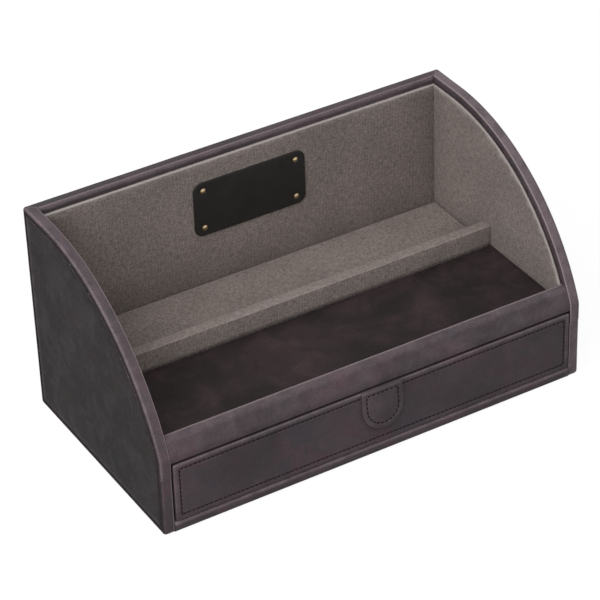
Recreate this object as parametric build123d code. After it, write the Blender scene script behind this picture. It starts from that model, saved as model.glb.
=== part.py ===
from build123d import *
from math import atan2, cos, pi, sin, sqrt
import os

# Charging station organizer: an open case with curved ends, a tray in front, a lift-out
# platform over a power strip bay behind, and a drawer below. All sizes are in millimetres.
# X runs left to right, Y from the front to the back and Z up. The origin is at the
# middle of the footprint, on the surface that the case stands on.

# Case
case_width = 330.0
case_depth = 178.7
case_height = 161.7
post_height = 60.1
rim_flat = 31.2
leather_t = 1.0
board_t = 6.3
edge_round = 2.5
rim_round = 1.2
corner_round_share = 1.3
knee_round = 12.0
turn_in = 12.0

# Floor, sill and felt
base_board_t = 6.4
felt_t = 1.0

# Tray, its lip and the divider bar
floor_height = 59.0
mat_t = 1.0
deck_t = 2.2
rail_rise = 13.4
rail_recess = 0.8
rail_t = 6.0
rail_round_share = 0.42
tray_depth = 95.0
bar_t = 9.0
bar_rise = 16.8
bar_round = 1.0
canvas_t = 0.5

# Linings of the ends and the back
liner_step = 6.5
side_liner_t = 1.5
back_liner_t = 2.0

# Label patch and its rivets, and how far the patch and the pull tab sit right of the middle
trim_shift = 2.5
patch_width = 89.4
patch_height = 43.1
patch_t = 1.2
patch_round = 7.0
patch_rise = 59.3
rivet_inset_x = 7.75
rivet_inset_z = 6.65
rivet_head_d = 4.6
rivet_dome = 0.9
rivet_shank_d = 1.8

# Rear platform, its cleats and the slot that leads rise through
platform_t = 2.8
cord_slot = 9.0
platform_side_gap = 0.8
cleat_width = 12.0
cleat_height = 8.0

# Lead outlet in the back wall and its grommet
outlet_d = 25.0
outlet_height = 26.0
grommet_wall = 1.9
grommet_flange = 3.5
grommet_flange_t = 1.5
grommet_lip = 1.0

# Drawer
drawer_proud = 0.5
drawer_front_t = 7.5
drawer_round = 1.5
drawer_gap = 0.9
drawer_wall_t = 5.0
drawer_box_height = 40.0
drawer_bottom_t = 3.0
drawer_bottom_rise = 2.0
drawer_stop_gap = 1.5
lining_t = 0.8
lining_drop = 1.0
glide_t = 1.5
glide_width = 7.0
glide_inset = 6.0

# Pull tab
tab_width = 32.0
tab_length = 31.2
tab_t = 1.6
tab_root_length = 6.8
tab_tilt_deg = 5.0
tab_edge_round = 0.5

# Clearances and the overrun of every cut
fit_gap = 0.3
press_gap = 0.1
over = 5.0

# Places worked out from the sizes above
half_width = case_width / 2
case_front = -case_depth / 2
case_back = case_depth / 2
wall_t = board_t + 2 * leather_t
inner_x = half_width - wall_t
inner_back = case_back - wall_t
rim_run = case_depth - rim_flat
rim_rise = case_height - post_height
rim_radius = (rim_run ** 2 + rim_rise ** 2) / (2 * rim_rise)
rim_centre_y = case_back - rim_flat
rim_centre_z = case_height - rim_radius

base_top = felt_t + base_board_t
sill_top = base_top + leather_t
deck_top = floor_height - mat_t
deck_under = deck_top - deck_t
rail_top = floor_height + rail_rise
rail_front_reach = sqrt((rim_radius - rail_recess) ** 2 - (rail_top - rim_centre_z) ** 2)
rail_back = rim_centre_y - rail_front_reach + rail_t
rail_round = rail_t * rail_round_share

bar_front = case_front + tray_depth
bar_back = bar_front + bar_t
bar_top = floor_height + bar_rise
partition_front = bar_front + canvas_t
partition_back = bar_back - canvas_t

liner_x = inner_x - side_liner_t
liner_back = inner_back - back_liner_t
liner_top = case_height - liner_step
patch_centre_z = floor_height + patch_rise
patch_face = liner_back - patch_t

platform_under = floor_height - platform_t
platform_half = liner_x - platform_side_gap
platform_front = bar_back + cord_slot
platform_back = patch_face - rivet_dome - fit_gap
cleat_top = platform_under - fit_gap

drawer_face = case_front - drawer_proud
drawer_front_back = drawer_face + drawer_front_t
drawer_half = inner_x - drawer_gap
drawer_front_low = sill_top + drawer_gap
drawer_front_top = deck_under - drawer_gap
drawer_low = base_top + glide_t + fit_gap
drawer_box_top = drawer_low + drawer_box_height
drawer_rear = partition_front - drawer_stop_gap
drawer_inner = drawer_half - drawer_wall_t
drawer_floor = drawer_low + drawer_bottom_rise + drawer_bottom_t

tab_joint_z = drawer_front_top - tab_root_length
tab_hinge_z = tab_joint_z - fit_gap
tab_hinge_y = drawer_face - fit_gap - tab_t


def block(x, y, z):
    """A box given by its low and high coordinate along each axis."""
    size = [high - low for low, high in (x, y, z)]
    middle = [(high + low) / 2 for low, high in (x, y, z)]
    return Pos(*middle) * Box(*size)


def rim_height(y, inset):
    """Height of the curved rim above a place along the depth, drawn in by inset."""
    return rim_centre_z + sqrt((rim_radius - inset) ** 2 - (y - rim_centre_y) ** 2)


def side_outline(inset):
    """The end wall's outline, drawn in by inset all round, in the YZ plane."""
    front, back = case_front + inset, case_back - inset
    low, top = inset, case_height - inset
    knee = rim_height(front, inset)
    angle = (atan2(knee - rim_centre_z, front - rim_centre_y) + pi / 2) / 2
    radius = rim_radius - inset
    middle = (rim_centre_y + radius * cos(angle), rim_centre_z + radius * sin(angle))
    edges = [
        Line((front, low), (front, knee)),
        ThreePointArc((front, knee), middle, (rim_centre_y, top)),
        Line((rim_centre_y, top), (back, top)),
        Line((back, top), (back, low)),
        Line((back, low), (front, low)),
    ]
    face = make_face(edges)
    at_front = face.vertices().sort_by(Axis.X)[:2]
    face = fillet(at_front.sort_by(Axis.Y)[-1], knee_round - inset)
    corner = edge_round * corner_round_share - inset
    if corner > 0:
        at_floor = face.vertices().sort_by(Axis.Y)[:2]
        at_back = face.vertices().sort_by(Axis.X)[-2:]
        face = fillet(at_floor + [at_back.sort_by(Axis.Y)[-1]], corner)
    return Plane.YZ * face


def end_slab(inset, x_low, x_high):
    """The end wall's outline as a slab between two places along the width."""
    return Pos(x_low, 0, 0) * extrude(side_outline(inset), amount=x_high - x_low)


def envelope(inset):
    """The whole case as one rounded block, drawn in by inset on every face."""
    solid = end_slab(inset, inset - half_width, half_width - inset)
    faces = solid.faces().sort_by(Axis.X)
    return fillet(faces[0].edges() + faces[-1].edges(), edge_round - inset)


def back_mitre():
    """The wedge in plan that belongs to the back wall: its ends meet the sides at 45 degrees."""
    reach = half_width + over
    points = [
        (-inner_x, inner_back), (inner_x, inner_back),
        (reach, case_back + over), (-reach, case_back + over),
    ]
    plan = make_face(Polyline(*points, close=True))
    return Pos(0, 0, -over) * extrude(plan, amount=case_height + 2 * over)


def below_deck(x, y):
    """A region under the tray floor where the leather stops and the board shows."""
    return block(x, y, (leather_t, deck_under))


def make_side(skin, core, mitre):
    """Board and leather of the right end wall."""
    reach = half_width + over
    wall = (skin & block((inner_x, reach), (-case_depth, case_depth), (-over, case_height + over))) - mitre
    inner_face = wall.faces().sort_by(Axis.X)[0]
    rim_edges = [e for e in inner_face.edges() if e.center().Y < inner_back and e.center().Z > 0]
    wall = fillet(rim_edges, rim_round)
    face_x = inner_x + leather_t
    middle = core & block((face_x, reach), (-case_depth, case_depth), (-over, case_height + over))
    bare = below_deck((inner_x, face_x), (case_front + turn_in, case_back)) & wall
    board = (middle - mitre) + bare
    return board, wall - board


def make_back(skin, core, mitre):
    """Board and leather of the back wall, with the lead outlet through both."""
    wall = skin & mitre
    inner_face = wall.faces().sort_by(Axis.Y)[0]
    wall = fillet(inner_face.edges().sort_by(Axis.Z)[-1], rim_round)
    face_y = inner_back + leather_t
    middle = core & mitre & block((-case_width, case_width), (face_y, case_depth), (-over, case_height + over))
    bare = below_deck((-inner_x, inner_x), (inner_back, face_y))
    outlet = Pos(0, case_back, outlet_height) * Rot(X=90) * Cylinder(outlet_d / 2, case_depth / 2)
    board = middle + bare
    return board - outlet, (wall - board) - outlet


def make_base(skin):
    """Floor board, the leather round its front edge and the felt beneath it."""
    across = (-inner_x, inner_x)
    turned = case_front + turn_in
    sill = skin & block(across, (case_front - over, turned), (-over, sill_top))
    top_face = sill.faces().sort_by(Axis.Z)[-1]
    sill = fillet(top_face.edges().sort_by(Axis.Y)[0], edge_round / 2)
    board = block(across, (case_front + leather_t, inner_back), (felt_t, base_top))
    felt = block(across, (turned, inner_back), (0, felt_t))
    return board, sill - board, felt


def make_rail():
    """Board and leather of the lip above the drawer, which leans back along the sides' curve."""
    across = (-inner_x, inner_x)
    lip = end_slab(rail_recess, -inner_x, inner_x)
    lip = lip & block(across, (case_front, rail_back), (deck_under, rail_top))
    lip = fillet(lip.faces().sort_by(Axis.Z)[-1].edges().sort_by(Axis.Y)[0], rail_round)
    lip = fillet(lip.faces().sort_by(Axis.Z)[-1].edges().sort_by(Axis.Y)[-1], leather_t)
    inset = rail_recess + leather_t
    middle = end_slab(inset, -inner_x, inner_x)
    low, top = deck_under + leather_t, rail_top - leather_t
    middle = middle & block(across, (case_front, rail_back - leather_t), (low, top))
    core_edges = middle.faces().sort_by(Axis.Z)[-1].edges().sort_by(Axis.Y)
    middle = fillet(core_edges[0], rail_round - leather_t)
    return middle, lip - middle


def make_deck():
    """Board over the drawer and the leather mat that is the tray floor."""
    across = (-inner_x, inner_x)
    board = block(across, (rail_back, partition_front), (deck_under, deck_top))
    mat = block(across, (rail_back, partition_front), (deck_top, floor_height))
    return board, mat


def make_divider():
    """Partition behind the drawer, and the canvas over its top, which is the divider bar."""
    lower = block((-inner_x, inner_x), (partition_front, partition_back), (base_top, floor_height))
    upper_z = (floor_height, bar_top - canvas_t)
    half = liner_x - canvas_t
    upper = block((-half, half), (partition_front, partition_back), upper_z)
    cover = block((-liner_x, liner_x), (bar_front, bar_back), (floor_height, bar_top))
    long_edges = cover.faces().sort_by(Axis.Z)[-1].edges().filter_by(Axis.X)
    cover = fillet(long_edges, bar_round)
    board_edges = upper.faces().sort_by(Axis.Z)[-1].edges().filter_by(Axis.X)
    upper = fillet(board_edges, bar_round - canvas_t)
    return lower + upper, cover - upper


def liner_shape(inset):
    """Lining of the right end, drawn in by inset on all faces but the one on the wall."""
    sheet = end_slab(liner_step + inset, liner_x + inset, inner_x)
    z = (floor_height + inset, case_height)
    sheet = sheet & block((0, case_width), (case_front, liner_back - inset), z)
    rail_notch = (case_front - over, rail_back + inset)
    return sheet - block((0, case_width), rail_notch, (0, rail_top + inset))


def make_back_liner():
    """Core and canvas of the back lining."""
    sheet = block((-inner_x, inner_x), (liner_back, inner_back), (floor_height, liner_top))
    half = inner_x - canvas_t
    core_z = (floor_height + canvas_t, liner_top - canvas_t)
    core = block((-half, half), (liner_back + canvas_t, inner_back), core_z)
    return core, sheet - core


def rivet_places():
    """Centres of the rivets on the patch, as X and Z."""
    x = patch_width / 2 - rivet_inset_x
    z = patch_height / 2 - rivet_inset_z
    return [(trim_shift + i * x, patch_centre_z + j * z) for i in (-1, 1) for j in (-1, 1)]


def make_patch():
    """Bare leather patch with four rivet holes."""
    plate = extrude(RectangleRounded(patch_width, patch_height, patch_round), amount=patch_t)
    plate = Pos(trim_shift, liner_back, patch_centre_z) * Rot(X=90) * plate
    hole = Cylinder(rivet_shank_d / 2 + press_gap, 2 * (patch_t + over))
    for x, z in rivet_places():
        plate -= Pos(x, patch_face, z) * Rot(X=90) * hole
    return plate


def make_rivets():
    """Four domed rivets, their shanks through the patch."""
    radius = rivet_head_d / 2
    ball_radius = (radius ** 2 + rivet_dome ** 2) / (2 * rivet_dome)
    ball = Pos(0, 0, rivet_dome - ball_radius) * Sphere(ball_radius)
    dome = ball & block((-radius, radius), (-radius, radius), (0, rivet_dome))
    shank = Pos(0, 0, -patch_t / 2) * Cylinder(rivet_shank_d / 2, patch_t)
    rivet = dome + shank
    return Compound([Pos(x, patch_face, z) * Rot(X=90) * rivet for x, z in rivet_places()])


def make_cleats():
    """Strips under the platform's right end and back edge."""
    z = (cleat_top - cleat_height, cleat_top)
    right = block((inner_x - cleat_width, inner_x), (partition_back, inner_back - cleat_width), z)
    back = block((-inner_x, inner_x), (inner_back - cleat_width, inner_back), z)
    return right, back


def make_platform():
    """Board of the lift-out platform and the canvas round it."""
    x = (-platform_half, platform_half)
    panel = block(x, (platform_front, platform_back), (platform_under, floor_height))
    rim = panel.faces().sort_by(Axis.Z)[-1].edges()
    panel = fillet(rim, bar_round / 2)
    half = platform_half - canvas_t
    y = (platform_front + canvas_t, platform_back - canvas_t)
    board = block((-half, half), y, (platform_under, floor_height - canvas_t))
    return board, panel - board


def make_grommet():
    """Ring pushed into the lead outlet from behind, with a flange outside and a lip inside."""
    outer = outlet_d / 2 - press_gap
    tube = Cylinder(outer, wall_t)
    flange_z = -(wall_t + grommet_flange_t) / 2
    flange = Pos(0, 0, flange_z) * Cylinder(outlet_d / 2 + grommet_flange, grommet_flange_t)
    flange = fillet(flange.faces().sort_by(Axis.Z)[0].edges(), grommet_flange_t / 2)
    lip_z = (wall_t + grommet_lip) / 2
    lip = Pos(0, 0, lip_z) * Cylinder(outlet_d / 2 + grommet_lip, grommet_lip)
    bore = Cylinder(outer - grommet_wall, 2 * (wall_t + over))
    ring = tube + flange + lip - bore
    return Pos(0, case_back - wall_t / 2, outlet_height) * Rot(X=90) * ring


def make_glide():
    """Low strip on the floor that the drawer's right side runs on."""
    y = (case_front + turn_in + glide_inset, partition_front - glide_inset)
    return block((drawer_half - glide_width, drawer_half), y, (base_top, base_top + glide_t))


def front_panel(inset):
    """The drawer's front, drawn in by inset on all faces but its back."""
    half = drawer_half - inset
    y = (drawer_face + inset, drawer_front_back)
    panel = block((-half, half), y, (drawer_front_low + inset, drawer_front_top - inset))
    rim = panel.faces().sort_by(Axis.Y)[0].edges()
    return fillet(rim, drawer_round - inset)


def make_drawer_box():
    """Right side, back, bottom and canvas lining of the drawer's box."""
    length = (drawer_front_back, drawer_rear)
    inside = (-drawer_inner, drawer_inner)
    inside_y = (drawer_front_back, drawer_rear - drawer_wall_t)
    right = block((drawer_inner, drawer_half), length, (drawer_low, drawer_box_top))
    back = block(inside, (inside_y[1], drawer_rear), (drawer_low, drawer_box_top))
    bottom = block(inside, inside_y, (drawer_low + drawer_bottom_rise, drawer_floor))
    lining_top = drawer_box_top - lining_drop
    lining = block(inside, inside_y, (drawer_floor, lining_top))
    half = drawer_inner - lining_t
    hollow_y = (inside_y[0] + lining_t, inside_y[1] - lining_t)
    lining -= block((-half, half), hollow_y, (drawer_floor + lining_t, lining_top + over))
    return right, back, bottom, lining


def make_tab_root(panel):
    """The sewn-down top of the pull tab, laid over the front's rounded top edge."""
    x = (trim_shift - tab_width / 2, trim_shift + tab_width / 2)
    y = (drawer_face - tab_t, drawer_face + drawer_round)
    root = block(x, y, (tab_joint_z, drawer_front_top))
    top_edge = root.faces().sort_by(Axis.Z)[-1].edges().sort_by(Axis.Y)[0]
    root = fillet(top_edge, tab_t)
    return root - panel


def make_tab():
    """The free flap of the pull tab, which stands a little off the drawer's front."""
    radius = tab_width / 2
    drop = tab_length - tab_root_length - fit_gap
    straight = drop - radius
    whole = Pos(0, -drop / 2) * Rectangle(tab_width, drop)
    face = Pos(0, -straight / 2) * Rectangle(tab_width, straight) + Pos(0, -straight) * Circle(radius)
    flap = extrude(face & whole, amount=tab_t)
    rim = flap.faces().sort_by(Axis.Z)[-1].edges() + flap.faces().sort_by(Axis.Z)[0].edges()
    rim = [e for e in rim if e.center().Y < 0]
    flap = fillet(rim, tab_edge_round)
    flap = Pos(0, tab_t, 0) * Rot(X=90) * flap
    return Pos(trim_shift, tab_hinge_y, tab_hinge_z) * Rot(X=-tab_tilt_deg) * flap


def both_ends(shape, name):
    """A right-hand piece and its mirror image, under a left and a right name."""
    return {f"left_{name}": mirror(shape, Plane.YZ), f"right_{name}": shape}


def make_case():
    """All pieces of the fixed case."""
    skin, core, mitre = envelope(0), envelope(leather_t), back_mitre()
    side_board, side_leather = make_side(skin, core, mitre)
    liner_core, liner_whole = liner_shape(canvas_t), liner_shape(0)
    cleat, cleat_back = make_cleats()
    glide = make_glide()
    pieces = {}
    pieces.update(both_ends(side_board, "side_board"))
    pieces.update(both_ends(side_leather, "side_leather"))
    pieces.update(both_ends(liner_core, "liner_core"))
    pieces.update(both_ends(liner_whole - liner_core, "liner_canvas"))
    pieces["back_board"], pieces["back_leather"] = make_back(skin, core, mitre)
    pieces["base_board"], pieces["sill_leather"], pieces["base_felt"] = make_base(skin)
    pieces["front_rail_board"], pieces["front_rail_leather"] = make_rail()
    pieces["deck_board"], pieces["tray_mat"] = make_deck()
    pieces["partition_board"], pieces["divider_canvas"] = make_divider()
    pieces["back_liner_core"], pieces["back_liner_canvas"] = make_back_liner()
    pieces["label_patch"] = make_patch()
    pieces["patch_rivets"] = make_rivets()
    pieces["cleat_left"], pieces["cleat_right"] = mirror(cleat, Plane.YZ), cleat
    pieces["cleat_back"] = cleat_back
    pieces["drawer_glide_left"], pieces["drawer_glide_right"] = mirror(glide, Plane.YZ), glide
    pieces["cord_grommet"] = make_grommet()
    return pieces


def make_moving():
    """All pieces of the platform, the drawer and its pull tab."""
    panel, board = front_panel(0), front_panel(leather_t)
    side, back, bottom, lining = make_drawer_box()
    pieces = {}
    pieces["platform_board"], pieces["platform_canvas"] = make_platform()
    pieces["drawer_front_board"], pieces["drawer_front_leather"] = board, panel - board
    pieces["drawer_left_side"], pieces["drawer_right_side"] = mirror(side, Plane.YZ), side
    pieces["drawer_back"] = back
    pieces["drawer_bottom"] = bottom
    pieces["drawer_lining"] = lining
    pieces["pull_tab_root"] = make_tab_root(panel)
    pieces["pull_tab"] = make_tab()
    return pieces


os.makedirs("parts", exist_ok=True)
for node, shape in {**make_case(), **make_moving()}.items():
    export_step(shape, f"parts/{node}.step")
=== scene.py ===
"""Looks of a charging station organizer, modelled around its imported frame.

The case is fibreboard wrapped in distressed leather, its cavity is lined with canvas, and a
drawer with a leather pull tab slides out below the tray. Lengths are in metres. X runs left to
right, Y from the front to the back and Z up, with the origin in the middle of the footprint.

The file is laid out as an add-on: property groups hold the sizes and colours, each operator
makes one piece or one group of like pieces, and a panel in the sidebar lists them.
"""

from math import asin, atan2, cos, hypot, pi, radians, sin, sqrt, tan

import bmesh
import bpy
from bpy.props import FloatProperty, FloatVectorProperty, PointerProperty
from mathutils import Matrix, Vector, noise


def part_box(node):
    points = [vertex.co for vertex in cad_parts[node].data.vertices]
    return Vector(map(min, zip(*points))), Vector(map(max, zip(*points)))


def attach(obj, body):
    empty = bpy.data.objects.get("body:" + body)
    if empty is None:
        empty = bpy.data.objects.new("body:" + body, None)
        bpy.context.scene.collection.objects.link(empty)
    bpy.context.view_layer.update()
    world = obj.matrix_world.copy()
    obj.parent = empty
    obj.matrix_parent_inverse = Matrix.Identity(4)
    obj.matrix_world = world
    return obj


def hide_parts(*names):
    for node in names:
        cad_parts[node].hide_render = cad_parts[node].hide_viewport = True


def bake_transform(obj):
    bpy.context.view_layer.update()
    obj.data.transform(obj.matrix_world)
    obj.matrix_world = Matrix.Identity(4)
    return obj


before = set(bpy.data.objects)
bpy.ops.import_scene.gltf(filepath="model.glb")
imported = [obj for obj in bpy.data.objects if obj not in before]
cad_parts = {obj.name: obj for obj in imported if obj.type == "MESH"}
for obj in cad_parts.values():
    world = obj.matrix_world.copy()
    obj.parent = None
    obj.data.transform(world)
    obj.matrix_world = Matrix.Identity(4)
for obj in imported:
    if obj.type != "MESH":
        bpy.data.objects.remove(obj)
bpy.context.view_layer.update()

bl_info = {
    "name": "Charging Station Organizer",
    "version": (1, 0, 0),
    "blender": (4, 5, 0),
    "location": "3D View > Sidebar > Organizer",
    "description": "Leather, canvas, stitching and stage of a charging station organizer",
    "category": "Add Mesh",
}

# Places that the frame gives
side_low, side_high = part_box("right_side_leather")
inner_x, half_width = side_low.x, side_high.x
case_front, case_height = side_low.y, side_high.z
inner_back, case_back = (corner.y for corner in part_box("back_leather"))
deck_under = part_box("front_rail_leather")[0].z
rail_back, rail_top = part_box("front_rail_leather")[1].yz
floor_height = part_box("tray_mat")[1].z
sill_back, sill_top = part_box("sill_leather")[1].yz
liner_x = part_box("right_liner_canvas")[0].x
liner_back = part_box("back_liner_canvas")[0].y
liner_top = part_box("back_liner_canvas")[1].z
drawer_low, drawer_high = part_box("drawer_front_leather")
joint_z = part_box("pull_tab_root")[0].z
tab_low, tab_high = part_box("pull_tab")
tab_x = (tab_low.x + tab_high.x) / 2

touch = 2e-6  # lengths that differ by less are the same
near_touch = 6e-5  # an even slice this near to a vertex goes through it
seam_reach = 0.0011  # half width of the pale ridge along a mitred seam
seam_cut = 0.0012  # distance from a mitred seam of the cuts that end its ridge
flat_limit = 0.97  # part of a normal along its axis from which a face counts as flat
# Painted shade: this exposure tints leather near-black where it faces a gap, a groove or the
# lining's step.
painted_gap_shade = -1.0  # exposure of leather that faces a gap


def length(name, default, description):
    """A property that is a length in metres."""
    return FloatProperty(
        name=name, description=description, default=default, min=0.0, unit="LENGTH"
    )


def share(name, default, description):
    """A property that is a share from 0 to 1."""
    return FloatProperty(name=name, description=description, default=default, min=0.0, max=1.0)


def colour(name, default, description):
    """A property that is a linear colour."""
    return FloatVectorProperty(
        name=name, description=description, default=default, size=3, min=0.0, max=1.0,
        subtype="COLOR",
    )


class CaseSettings(bpy.types.PropertyGroup):
    """Sizes of the leather-wrapped case."""

    post_height: length("Post height", 0.0601, "Height where the curved rim would meet the post")
    rim_flat: length("Rim flat", 0.0312, "Depth of the level stretch of the side rims")
    knee_round: length("Knee round", 0.012, "Radius between the front post and the curved rim")
    corner_round: length("Corner round", 0.00325, "Radius of the case's long outer corners")
    edge_round: length("Edge round", 0.0025, "Radius of a leather-wrapped outer edge")
    rim_round: length("Rim round", 0.0012, "Radius of the rim's inner edge")
    # The rim's inner face is painted in shade, darkest from this depth down.
    shade_depth: length("Shade depth", 0.0065, "Depth below the rim where its face is darkest")
    leather: length("Leather", 0.001, "Thickness of the leather")
    turn_in: length("Turn-in", 0.012, "Depth that the leather reaches behind the front post")
    overlap_height: length("Overlap height", 0.0465, "Height where the rim's leather ends")
    overlap_step: length("Overlap step", 0.0005, "Thickness lost where the rim's leather ends")
    rail_recess: length("Rail recess", 0.0008, "How far the rail lies inside the sides' outline")
    rail_round: length("Rail round", 0.00252, "Radius of the front rail's front top edge")
    rail_low_round: length("Rail low round", 0.0006, "Radius of the front rail's lower edge")
    drawer_round: length("Drawer round", 0.0015, "Radius of the drawer front's edges")
    outlet_radius: length("Outlet radius", 0.0125, "Radius of the outlet in the back's leather")
    waviness: length("Waviness", 0.00016, "How far the leather sinks where it lies loosely")
    felt_round: length("Felt round", 0.0004, "Radius of the felt's lower edge")
    felt_waviness: length("Felt waviness", 0.0001, "How far the felt sinks")


class LiningSettings(bpy.types.PropertyGroup):
    """Sizes of the canvas-covered parts."""

    step: length("Step", 0.0065, "How far the linings stay below the rim")
    canvas: length("Canvas", 0.00045, "Thickness of the canvas")
    canvas_fold: length("Canvas fold", 0.0005, "Radius of the canvas at the divider bar's ends")
    drawer_card: length("Drawer card", 0.0008, "Thickness of the drawer's lining")
    card_round: length("Card round", 0.0005, "Radius of a canvas-covered card's edge")
    bar_round: length("Bar round", 0.001, "Radius of the divider bar's top edges")
    panel_round: length("Panel round", 0.0007, "Radius of the rear platform's edges")
    waviness: length("Waviness", 0.00014, "How far the canvas sinks between its glue lines")
    # Painted shade: the canvas is tinted darker up to this distance from the cavity's floor and
    # inner corners.
    shade_reach: length("Shade reach", 0.034, "How far the soiling of the inner corners reaches")
    thread_pitch: length("Thread pitch", 0.00125, "Distance between the threads of the canvas")


class StitchSettings(bpy.types.PropertyGroup):
    """Sizes of the sewn rows."""

    pitch: length("Pitch", 0.0034, "Distance from stitch to stitch")
    stitch: length("Stitch length", 0.0026, "Length of one stitch")
    thread: length("Thread", 0.0010, "Width of the thread")
    groove_width: length("Groove width", 0.0020, "Width of the line that the thread pulls in")
    groove_depth: length("Groove depth", 0.0007, "Depth of the line that the thread pulls in")
    case_inset: length("Case inset", 0.0042, "Distance of the rows from the case's edges")
    drawer_inset: length("Drawer inset", 0.0044, "Distance of the row from the front's edges")
    tab_inset: length("Tab inset", 0.0037, "Distance of the row from the pull tab's edges")


class TrimSettings(bpy.types.PropertyGroup):
    """Sizes of the pull tab, the patch and its rivets."""

    tab_length: length("Tab length", 0.0312, "Length of the pull tab, its sewn top included")
    tab_leather: length("Tab leather", 0.0016, "Thickness of the pull tab")
    tab_edge: length("Tab edge", 0.00045, "Radius of the pull tab's edges")
    tab_tilt: FloatProperty(
        name="Tab tilt", description="How far the free flap stands off", default=radians(6.0),
        min=0.0, unit="ROTATION",
    )
    tab_bend: length("Tab bend", 0.003, "Length over which the flap starts to stand off")
    tab_waviness: length("Tab waviness", 0.0002, "How far the pull tab sinks")
    patch_round: length("Patch round", 0.007, "Radius of the patch's corners")
    patch_edge: length("Patch edge", 0.00045, "Radius of the patch's edges")
    patch_waviness: length("Patch waviness", 0.00025, "How far the patch sinks")
    rivet_dish: length("Rivet dish", 0.0005, "How far each rivet draws the patch in")
    dish_reach: length("Dish reach", 0.00506, "How far round a rivet the patch is drawn in")
    rivet_head: length("Rivet head", 0.0023, "Radius of a rivet's head")
    rivet_dome: length("Rivet dome", 0.0009, "Height of a rivet's dome")
    rivet_rim: length("Rivet rim", 0.0002, "Thickness of a rivet's rim")


class FinishSettings(bpy.types.PropertyGroup):
    """Colours of the leather, canvas, board and trim."""

    hide: colour("Hide", (0.108, 0.080, 0.092), "Leather of the front, the rim and the back")
    hide_dark: colour("Dark hide", (0.046, 0.037, 0.041), "Darker clouds of that leather")
    # The next colour is painted shade: the tint of the case hide where it faces a gap or lies in
    # shade.
    hide_painted_shade: colour("Hide in gaps", (0.032, 0.020, 0.024), "That leather where it faces a gap")
    side: colour("Side hide", (0.027, 0.0205, 0.0215), "Leather of the outer side walls")
    # The dark side hide tints the side hide's clouds and is also its painted shade, towards the
    # bottom and in the sewn groove.
    side_dark_and_shade: colour("Dark side hide", (0.010, 0.0085, 0.0085), "Darker clouds of that leather")
    cool: colour("Cool hide", (0.066, 0.059, 0.067), "Greyer clouds of the leather")
    warm: colour("Warm hide", (0.120, 0.070, 0.084), "Redder clouds of the leather")
    bare: colour("Bare hide", (0.430, 0.350, 0.340), "Edges of the leather that are rubbed through")
    worn: colour("Worn hide", (0.250, 0.196, 0.216), "Rubbed edges of the leather")
    tray: colour("Tray hide", (0.046, 0.030, 0.032), "Leather of the tray floor")
    tray_dark: colour("Dark tray hide", (0.014, 0.012, 0.011), "Darker clouds of the tray leather")
    patch: colour("Patch hide", (0.020, 0.018, 0.017), "Leather of the patch")
    thread: colour("Thread", (0.022, 0.012, 0.015), "Sewing thread")
    canvas: colour("Canvas", (0.300, 0.250, 0.230), "Threads of the canvas")
    # The canvas gap colour is also the tint of painted shade on the canvas, in the cavity's corners
    # and inside the drawer.
    canvas_dark_and_shade: colour("Canvas gaps", (0.045, 0.035, 0.031), "Gaps between the threads")
    # The worn canvas colour also paints the divider bar's top paler, partly as painted light from
    # above.
    canvas_worn_and_lit: colour("Worn canvas", (0.520, 0.465, 0.440), "Folded edges of the canvas")
    board: colour("Board", (0.270, 0.200, 0.140), "Fibreboard")
    felt: colour("Felt", (0.018, 0.017, 0.018), "Felt under the case")
    plastic: colour("Plastic", (0.022, 0.022, 0.023), "Grommet and drawer glides")
    brass: colour("Brass", (0.560, 0.440, 0.260), "Antique brass of the rivets")
    tarnish: colour("Tarnish", (0.150, 0.110, 0.065), "Dark film round the rivets' edges")


class StageSettings(bpy.types.PropertyGroup):
    """Camera, light and floor."""

    camera: FloatVectorProperty(
        name="Camera", description="Place of the camera", size=3, subtype="TRANSLATION",
        default=(-0.801760, -1.382946, 1.166956), unit="LENGTH",
    )
    azimuth: FloatProperty(
        name="Azimuth", description="Heading of the camera, 0 looking to the back",
        default=radians(-29.9234), unit="ROTATION",
    )
    elevation: FloatProperty(
        name="Elevation", description="How far the camera looks down", default=radians(34.3506),
        unit="ROTATION",
    )
    roll: FloatProperty(
        name="Roll", description="Turn of the picture", default=radians(2.1092), unit="ROTATION",
    )
    lens: FloatProperty(name="Lens", description="Focal length in millimetres", default=170.187)
    ambient: FloatProperty(
        name="Ambient", description="Strength of the light all round", default=0.44
    )
    key: FloatProperty(name="Key", description="Power of the top light in watts", default=35.0)
    key_size: length("Key size", 2.0, "Width of the top light")
    key_place: FloatVectorProperty(
        name="Key place", description="Place of the top light", size=3, subtype="TRANSLATION",
        default=(-1.40, -0.90, 1.62), unit="LENGTH",
    )
    bounce: share("Bounce", 0.12, "How pale the floor is to the light that it throws back")
    glow: share("Floor glow", 0.86, "Share of the floor's white that no shadow reaches")
    floor_reach: length("Floor reach", 30.0, "Half width of the floor")


def connect(tree, node, values):
    """Fill a node's inputs, each with a number or a socket, and return its outputs."""
    for key, value in values.items():
        if isinstance(value, bpy.types.NodeSocket):
            tree.links.new(value, node.inputs[key])
        else:
            node.inputs[key].default_value = value
    return node.outputs


def add(tree, kind, settings, values):
    """Add a shader node. settings are its own, and values its inputs."""
    node = tree.nodes.new("ShaderNode" + kind)
    for name, value in settings.items():
        setattr(node, name, value)
    return connect(tree, node, values)


def reckon(tree, operation, first, second=0.0):
    """One Math node's result."""
    return add(tree, "Math", {"operation": operation}, {0: first, 1: second})[0]


def scale_shift(tree, value, factor, offset):
    """A value times a factor, plus an offset."""
    values = {0: value, 1: factor, 2: offset}
    return add(tree, "Math", {"operation": "MULTIPLY_ADD"}, values)[0]


def weigh(tree, *parts):
    """The sum of some values, each times its weight."""
    total = reckon(tree, "MULTIPLY", *parts[0])
    for value, weight in parts[1:]:
        total = reckon(tree, "ADD", total, reckon(tree, "MULTIPLY", value, weight))
    return total


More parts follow.
